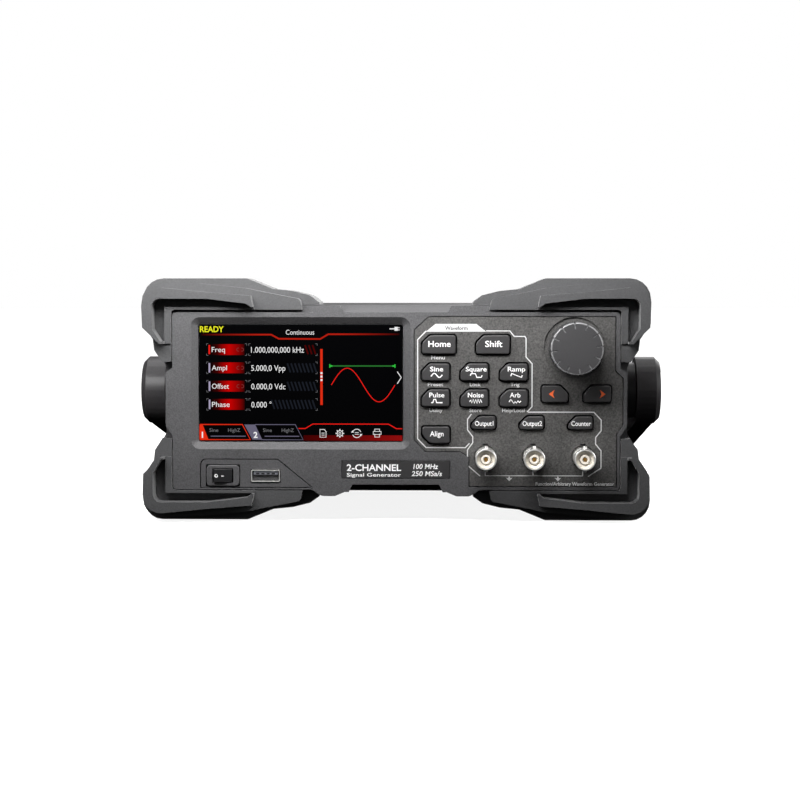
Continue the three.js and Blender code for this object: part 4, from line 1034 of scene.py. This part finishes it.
HATCH_STARTS, HATCH_PITCH, HATCH_LEAN = (-41.8, -50.0, -50.0, -57.4), 1.72, 1.4
NAME_LEFT, VALUE_WORDS_LEFT, TICK_LEFT, TICK_RIGHT = -84.9, -66.7, -87.3, -68.7
name_fields, name_words, value_words, link_signs = Artwork(), Artwork(), Artwork(), Artwork()
ticks, bars, hatch, first_hatch = Artwork(), Artwork(), Artwork(), Artwork()
for number, (name, name_width, value, value_width, z) in enumerate(rows):
    low, high = z - ROW_HEIGHT / 2, z + ROW_HEIGHT / 2
    name_fields.box(LABEL_LEFT, LABEL_RIGHT, low, high)
    name_words.words(name, NAME_LEFT, z, 2.3, name_width, 0.0, "LEFT")
    value_words.words(value, VALUE_WORDS_LEFT, z - 0.1, 2.6, value_width, 0.0, "LEFT")
    corner_ticks(ticks, VALUE_LEFT, VALUE_RIGHT, low - 0.2, high + 0.2)
    corner_ticks(ticks, TICK_LEFT, TICK_RIGHT, low - 0.2, high + 0.2)
    x, shading = HATCH_STARTS[number], hatch if number else first_hatch
    while x < VALUE_RIGHT - HATCH_LEAN:
        shading.line([(x, high - 0.4), (x + HATCH_LEAN, low + 0.4)], 0.75)
        x += HATCH_PITCH
    if number:
        bars.box(BAR_LEFT, BAR_RIGHT, low + 0.3, high - 0.3)
    if number < 3:
        for middle, turn in ((-72.6, 60), (-70.9, 240)):
            link_signs.ring(middle, z, 0.75, 0.28, 10, turn, 240)
for art, piece, layer, finish in [
        (name_fields, "display_name_fields", FIELD, row_red),
        (hatch, "display_value_fields", FIELD, hatch_light),
        (first_hatch, "display_chosen_field", FIELD, hatch_red),
        (ticks, "display_ticks", FRAME, tick_light),
        (bars, "display_row_bars", FRAME, pale_light),
        (name_words, "display_row_names", WORD, white_light),
        (value_words, "display_row_values", WORD, white_light),
        (link_signs, "display_row_links", FRAME, glow("link sign light", (0.22, 0.03, 0.03)))]:
    lit(art, piece, layer, finish)
top_row = rows[0][4]
chosen_bar = Artwork().box(BAR_LEFT, BAR_RIGHT, top_row - 2.1, top_row + 2.1)
lit(chosen_bar, "display_chosen_bar", FRAME, red_light)
lit(Artwork().box(-34.8, -33.7, -2.3, 23.5), "display_scroll_bar", FIELD, tab_red)
squares = Artwork()
for z in (12.4, 10.8, 9.2):
    squares.box(-34.7, -33.8, z - 0.45, z + 0.45)
lit(squares, "display_scroll_squares", WORD, white_light)

# %% [markdown]
# A preview of the wave stands to the right of the rows: a sine between dim green rules.

# %% Display wave
WAVE_LEFT, WAVE_LENGTH, WAVE_MIDDLE, WAVE_HEIGHT, WAVE_STEPS = -29.7, 29.3, 6.93, 7.75, 60
wave = [(WAVE_LEFT + WAVE_LENGTH * i / WAVE_STEPS,
         WAVE_MIDDLE + WAVE_HEIGHT * math.sin(2 * math.pi * i / WAVE_STEPS))
        for i in range(WAVE_STEPS + 1)]
lit(Artwork().line(wave, 0.4), "display_wave", WORD, red_light)
RULE_LEFT, RULE_RIGHT, RULE_Z = -30.4, -0.4, 15.7
wave_rule = Artwork().line([(RULE_LEFT, RULE_Z), (RULE_RIGHT, RULE_Z)], 0.6)
lit(wave_rule, "display_wave_rule", FIELD, dim_green)
ends = Artwork()
for x, inward in ((RULE_LEFT, 1), (RULE_RIGHT, -1)):
    ends.line([(x, RULE_Z - 0.8), (x, RULE_Z + 0.8)], 0.5)
    ends.line([(x, RULE_Z), (x + inward * 1.2, RULE_Z)], 0.7)
lit(ends, "display_wave_ends", FRAME, green_light)
more_sign = Artwork().line([(0.7, 13.1), (2.5, 10.4), (0.7, 7.6)], 0.4)
lit(more_sign, "display_more_sign", WORD, white_light)

# %% [markdown]
# Along the bottom are the two channel tabs, each with its wave and load, and four plain signs
# on a dark red band: a page, a gear, a turning arrow and a printer.

# %% Display tabs
tab_one = Artwork().patch([(-90.8, -11.4), (-90.8, -18.4), (-86.6, -18.4), (-89.3, -11.4)])
tab_one.line([(-90.5, -11.4), (-70.9, -11.4), (-67.2, -18.4), (-90.5, -18.4)], 0.5)
lit(tab_one, "display_tab_one", FRAME, tab_red)
tab_two = Artwork().patch([(-70.0, -11.4), (-66.2, -18.4), (-61.7, -18.4), (-65.0, -11.4)])
tab_two.line([(-65.0, -11.4), (-46.4, -11.4), (-42.8, -18.4), (-62.0, -18.4)], 0.35)
lit(tab_two, "display_tab_two", FRAME, slate_light)
tab_words = Artwork()
for left in (-84.1, -59.3):
    tab_words.words("Sine", left, -14.0, 1.6, 4.1).words("HighZ", left + 9.4, -14.0, 1.6, 5.6)
lit(tab_words, "display_tab_words", WORD, tick_light)
tab_bars = Artwork().box(-85.6, -69.4, -17.0, -16.6).box(-60.6, -44.6, -17.0, -16.6)
lit(tab_bars, "display_tab_bars", WORD, slate_light)
numbers = Artwork()
for number, x in (("1", -89.4), ("2", -64.8)):
    numbers.words(number, x, -16.2, 2.6, None, 0.03)
lit(numbers, "display_tab_numbers", WORD, white_light)

lit(Artwork().box(-42.6, 3.0, -18.8, -16.3), "display_sign_band", FIELD, band_red)
sign_rule = Artwork().line([(-44.9, -13.2), (-41.8, -13.2), (-38.3, -11.1), (-3.4, -11.1),
                            (0.3, -13.2), (3.0, -13.2)], 0.45)
lit(sign_rule, "display_sign_rule", FIELD, red_light)
SIGN_Z, STROKE, FINE_STROKE = -15.4, 0.32, 0.25
signs = Artwork()
signs.line([(-35.0, -17.2), (-35.0, -13.6), (-33.0, -13.6), (-32.2, -14.6), (-32.2, -17.2)],
           STROKE, closed=True)
for z in (-15.3, -16.2):
    signs.line([(-34.3, z), (-32.9, z)], FINE_STROKE)
GEAR_X, GEAR_TEETH = -25.8, 8
signs.ring(GEAR_X, SIGN_Z, 1.25, STROKE).ring(GEAR_X, SIGN_Z, 0.5, FINE_STROKE, 12)
for tooth in range(GEAR_TEETH):
    turn = 2 * math.pi * tooth / GEAR_TEETH
    signs.line([(GEAR_X + reach * math.cos(turn), SIGN_Z + reach * math.sin(turn))
                for reach in (1.3, 1.95)], 0.45)
for start in (20, 200):
    signs.ring(-18.0, SIGN_Z, 1.95, STROKE, 12, start, 140)
signs.patch([(-20.6, -15.0), (-19.3, -15.0), (-19.95, -14.0)])
signs.patch([(-16.7, -15.7), (-15.4, -15.7), (-16.05, -16.7)])
for z in (-15.0, -15.8):
    signs.line([(-18.9, z), (-17.1, z)], FINE_STROKE)
signs.line([(-10.4, -15.9), (-10.4, -14.5), (-6.8, -14.5), (-6.8, -15.9)], STROKE, closed=True)
signs.line([(-9.7, -14.5), (-9.7, -13.4), (-7.5, -13.4), (-7.5, -14.5)], STROKE)
signs.line([(-9.7, -15.6), (-9.7, -17.1), (-7.5, -17.1), (-7.5, -15.6)], STROKE)
lit(signs, "display_signs", WORD, white_light)

# %% [markdown]
# ## Bumpers
# The four corner bumpers and the two behind are soft mouldings, so their edges are rounder
# than the front's. A rounded copy of the measured part keeps every step, pocket and groove.

# %% Bumpers
# node, piece, bevel in millimetres, bevel segments
bumpers = [(f"bumper_{corner}", f"corner_rubber_{corner}", 0.55, 2)
           for corner in ("upper_left", "lower_left", "upper_right", "lower_right")]
bumpers += [(f"rear_bumper_{side}", f"rear_rubber_{side}", 1.2, 3) for side in ("left", "right")]
for node, piece, bevel, segments in bumpers:
    finished(softened(node, bevel, segments), piece, "root", "rubber", bumper_rubber,
             stands_for=[node])
print("bumpers:", len(bumpers))

# %% [markdown]
# ## Carry handle
# Two arms run back from the pivots and meet in a round bar that carries a soft sleeve. The
# sleeve is spun, with shallow ribs that the hand feels, and its ends are rounded over.

# %% Handle
finished(softened("handle", 0.9, 3), "handle_arms", "handle", "handle", handle_plastic,
         stands_for=["handle"])
for side in ("left", "right"):
    finished(softened(f"pivot_{side}", 0.2, 2), f"handle_pivot_{side}", "root", "handle",
             handle_plastic, stands_for=[f"pivot_{side}"])

GRIP_LOW, GRIP_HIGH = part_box("handle_grip")
GRIP_MIDDLE, GRIP_LENGTH = (GRIP_LOW + GRIP_HIGH) / 2, (GRIP_HIGH.x - GRIP_LOW.x) / MM
GRIP_RADIUS, BAR_RADIUS, RIB_PITCH, RIB_DEPTH, PLAIN_END = 8.95, 6.6, 6.0, 0.55, 6


def grip_sleeve():
    ribs = round((GRIP_LENGTH - 2 * PLAIN_END) / RIB_PITCH)
    groove = [(0, 0), (0.5, 0.8), (1.0, 1), (1.5, 0.8), (2, 0)]
    profile = [(BAR_RADIUS, 0), (GRIP_RADIUS - 1.2, 0), (GRIP_RADIUS - 0.35, 0.35),
               (GRIP_RADIUS, 1.2)]
    for rib in range(ribs):
        start = PLAIN_END + rib * RIB_PITCH
        profile += [(GRIP_RADIUS - RIB_DEPTH * share, start + along) for along, share in groove]
    profile += [(GRIP_RADIUS, GRIP_LENGTH - 1.2), (GRIP_RADIUS - 0.35, GRIP_LENGTH - 0.35),
                (GRIP_RADIUS - 1.2, GRIP_LENGTH), (BAR_RADIUS, GRIP_LENGTH), (BAR_RADIUS, 0)]
    place = (Matrix.Translation((GRIP_LOW.x, GRIP_MIDDLE.y, GRIP_MIDDLE.z)) @ Matrix.Scale(MM, 4)
             @ Matrix.Rotation(math.radians(90), 4, "Y"))
    return stood(turned(profile, 48), place)


finished(grip_sleeve(), "grip_sleeve", "handle", "rubber", dark_rubber_and_shade, stands_for=["handle_grip"])
print("grip length:", round(GRIP_LENGTH), "mm")

# %% [markdown]
# ## The case and the back
# The cover and the tray are painted sheet, so they get small folded-edge radii and a textured
# paint. The sockets and ports at the back are softened copies, each in its own finish, and plain
# words say what each one is.

# %% Case and rear parts
rear_parts = [
    ("top_cover", "case_cover", "case_paint", case_paint, 0.4),
    ("chassis_tray", "case_tray", "case_paint", case_paint, 0.3),
    ("rear_panel", "rear_plate", "sheet_metal", case_paint, 0.15),
    ("mains_inlet", "mains_socket", "dark_plastic", black_plastic, 0.3),
    ("rear_bnc_reference", "reference_socket", "nickel", nickel, 0.15),
    ("rear_bnc_sync", "sync_socket", "nickel", nickel, 0.15),
    ("lan_port", "network_socket", "nickel", zinc, 0.15),
    ("usb_device_port", "device_socket", "nickel", zinc, 0.15),
    ("fan_frame", "fan_housing", "dark_plastic", black_plastic, 0.3),
]
for node, piece, slot, finish, width in rear_parts:
    finished(softened(node, width), piece, "root", slot, finish, stands_for=[node])
finished(softened("fan_rotor", 0.15, 1), "fan_blades", "fan", "dark_plastic", black_plastic,
         stands_for=["fan_rotor"])
print("case and rear parts:", len(rear_parts) + 1)

# %% [markdown]
# Plain words name each socket and the inlet. The plate is held by cross-head screws. A screw is a
# low spun dome with two crossed slots cut out of it, made once for each place.

# %% Rear print and screws
REAR_PROUD = 0.05
rear_words = [("10 MHz In/Out", "rear_bnc_reference", 7.6), ("Sync", "rear_bnc_sync", 7.6),
              ("Network", "lan_port", -9.0), ("Device", "usb_device_port", -9.0),
              ("AC 100-240 V  50/60 Hz", "mains_inlet", 15.0)]
rear_print = bmesh.new()
for text, node, rise in rear_words:
    x, z, _, _, _ = front_box(node)
    art = Artwork().words(text, 0, 0, 1.9, None, 0.01)
    added(rear_print, art.bm, on_rear(x, z + rise, REAR_PROUD))
finished(rear_print, "rear_print", "root", "sheet_metal", white_ink)


def screw_head(radius=2.6, height=1.0):
    bm = turned([(0, height), (radius * 0.6, height * 0.92), (radius * 0.9, height * 0.55),
                 (radius, 0), (radius, -0.6), (0, -0.6)], 32)
    slots = bmesh.new()
    for size in ((radius * 1.25, 0.6, 1), (0.6, radius * 1.25, 1)):
        place = Matrix.Translation((0, 0, height)) @ Matrix.Diagonal((*size, 1))
        bmesh.ops.create_cube(slots, size=1, matrix=place)
    return carved(bm, slots)


SCREWS = [(x, z) for x in (-72, 0, 72) for z in (36, -35)]
screws = bmesh.new()
for x, z in SCREWS:
    added(screws, screw_head(), on_rear(x, z, 0.1))
finished(screws, "rear_screws", "root", "nickel", zinc)
print("screws:", len(SCREWS))

# %% [markdown]
# The parts inside are seen only through the vents, so their measured shapes stay as they are and
# take a finish each.

# %% Inside parts
inside = {"lcd_module": zinc, "front_board": laminate, "main_board": laminate,
          "keypad_mat": dark_rubber_and_shade, "encoder_body": zinc, "encoder_shaft": nickel,
          "power_supply": zinc}
for node, finish in inside.items():
    piece = frame["nodes"][node]
    piece.data.materials.clear()
    piece.data.materials.append(finish.material)
print("inside parts:", len(inside))

# %% [markdown]
# ## Stage
# A pale floor runs out of sight in every direction under a plain white backdrop. The floor has
# a light of its own, a wide sun that is linked to it alone, and neither the floor nor the backdrop
# throws light on the instrument. The soft lights can then model the dark shapes by themselves,
# as they do in a studio where a pale set is lit apart from the subject.

# %% Floor and backdrop
FLOOR_RADIUS, FLOOR_GAP = 12.0, 0.0002
floor = bmesh.new()
bmesh.ops.create_circle(floor, cap_ends=True, segments=96, radius=FLOOR_RADIUS,
                        matrix=Matrix.Translation((0, 0, cad_low.z - FLOOR_GAP)))
floor_mesh = bpy.data.meshes.new("floor")
floor.to_mesh(floor_mesh)
floor.free()
floor_finish = Finish("pale floor", (0.88, 0.88, 0.88), 0.7)
floor_finish.tinted(floor_finish.noise(400.0), 0.01)
floor_mesh.materials.append(floor_finish.material)
floor_piece = bpy.data.objects.new("floor", floor_mesh)
bpy.context.scene.collection.objects.link(floor_piece)
floor_piece.visible_diffuse = floor_piece.visible_glossy = False

backdrop = bpy.data.worlds.new("backdrop")
bpy.context.scene.world = backdrop
backdrop.use_nodes = True
backdrop.node_tree.nodes["Background"].inputs["Color"].default_value = (1, 1, 1, 1)
backdrop.cycles_visibility.diffuse = backdrop.cycles_visibility.glossy = False
print("floor at z =", round(cad_low.z, 4))

# %% [markdown]
# ## Lights
# The key is a bar close above the front, near enough for its light to fall off down the panel, and
# it is turned a little away so that the bottom gets less still. A wide one overhead draws the
# top faces, and weak ones in front, at the sides and behind open up the shadows. Metal shows
# what is round it more than its own colour, so the sockets and the port have a large fill that
# is linked to them alone, as a reflector card would be held for them. None of the lamps is seen.

# %% Lights
def soft_light(name, place, width, tall, watts, aim=(0, -0.1, 0.05)):
    data = bpy.data.lights.new(name, "AREA")
    data.shape, data.size, data.size_y, data.energy = "RECTANGLE", width, tall, watts
    light = bpy.data.objects.new(name, data)
    light.location, light.visible_camera = place, False
    light.rotation_euler = (Vector(place) - Vector(aim)).to_track_quat("Z", "Y").to_euler()
    bpy.context.scene.collection.objects.link(light)
    return light


soft_light("key light", (-0.07, -0.265, 0.21), 0.34, 0.08, 1.7, aim=(-0.07, -0.05, 0.17))
soft_light("top light", (-0.1, 0.15, 0.7), 0.6, 0.6, 2.5)
soft_light("right fill", (1.0, -0.3, 0.45), 0.6, 0.6, 5.0)
soft_light("left fill", (-1.0, -0.2, 0.6), 0.6, 0.6, 1.5)
soft_light("front fill", (-0.2, -2.0, 0.35), 2.6, 1.0, 2.0)
metal_fill = soft_light("metal fill", (-0.2, -2.0, 0.9), 2.6, 2.6, 13.0)
soft_light("rear light", (0.5, 1.3, 0.5), 1.0, 1.0, 9.0, aim=(0, 0.1, 0.05))

bright_parts = bpy.data.collections.new("bright parts")
for piece in list(bpy.data.objects):
    if piece.name.startswith(("socket_", "insulator_", "sleeve_", "contact_", "host_")):
        bright_parts.objects.link(piece)
metal_fill.light_linking.receiver_collection = bright_parts

floor_only = bpy.data.collections.new("floor only")
floor_only.objects.link(floor_piece)
for name, watts, casts in [("floor wash", 4.1, False), ("floor sun", 0.45, True)]:
    data = bpy.data.lights.new(name, "SUN")
    data.energy, data.angle, data.use_shadow = watts, math.radians(70), casts
    sun = bpy.data.objects.new(name, data)
    sun.light_linking.receiver_collection = floor_only
    bpy.context.scene.collection.objects.link(sun)
bpy.context.scene.view_settings.view_transform = "Standard"
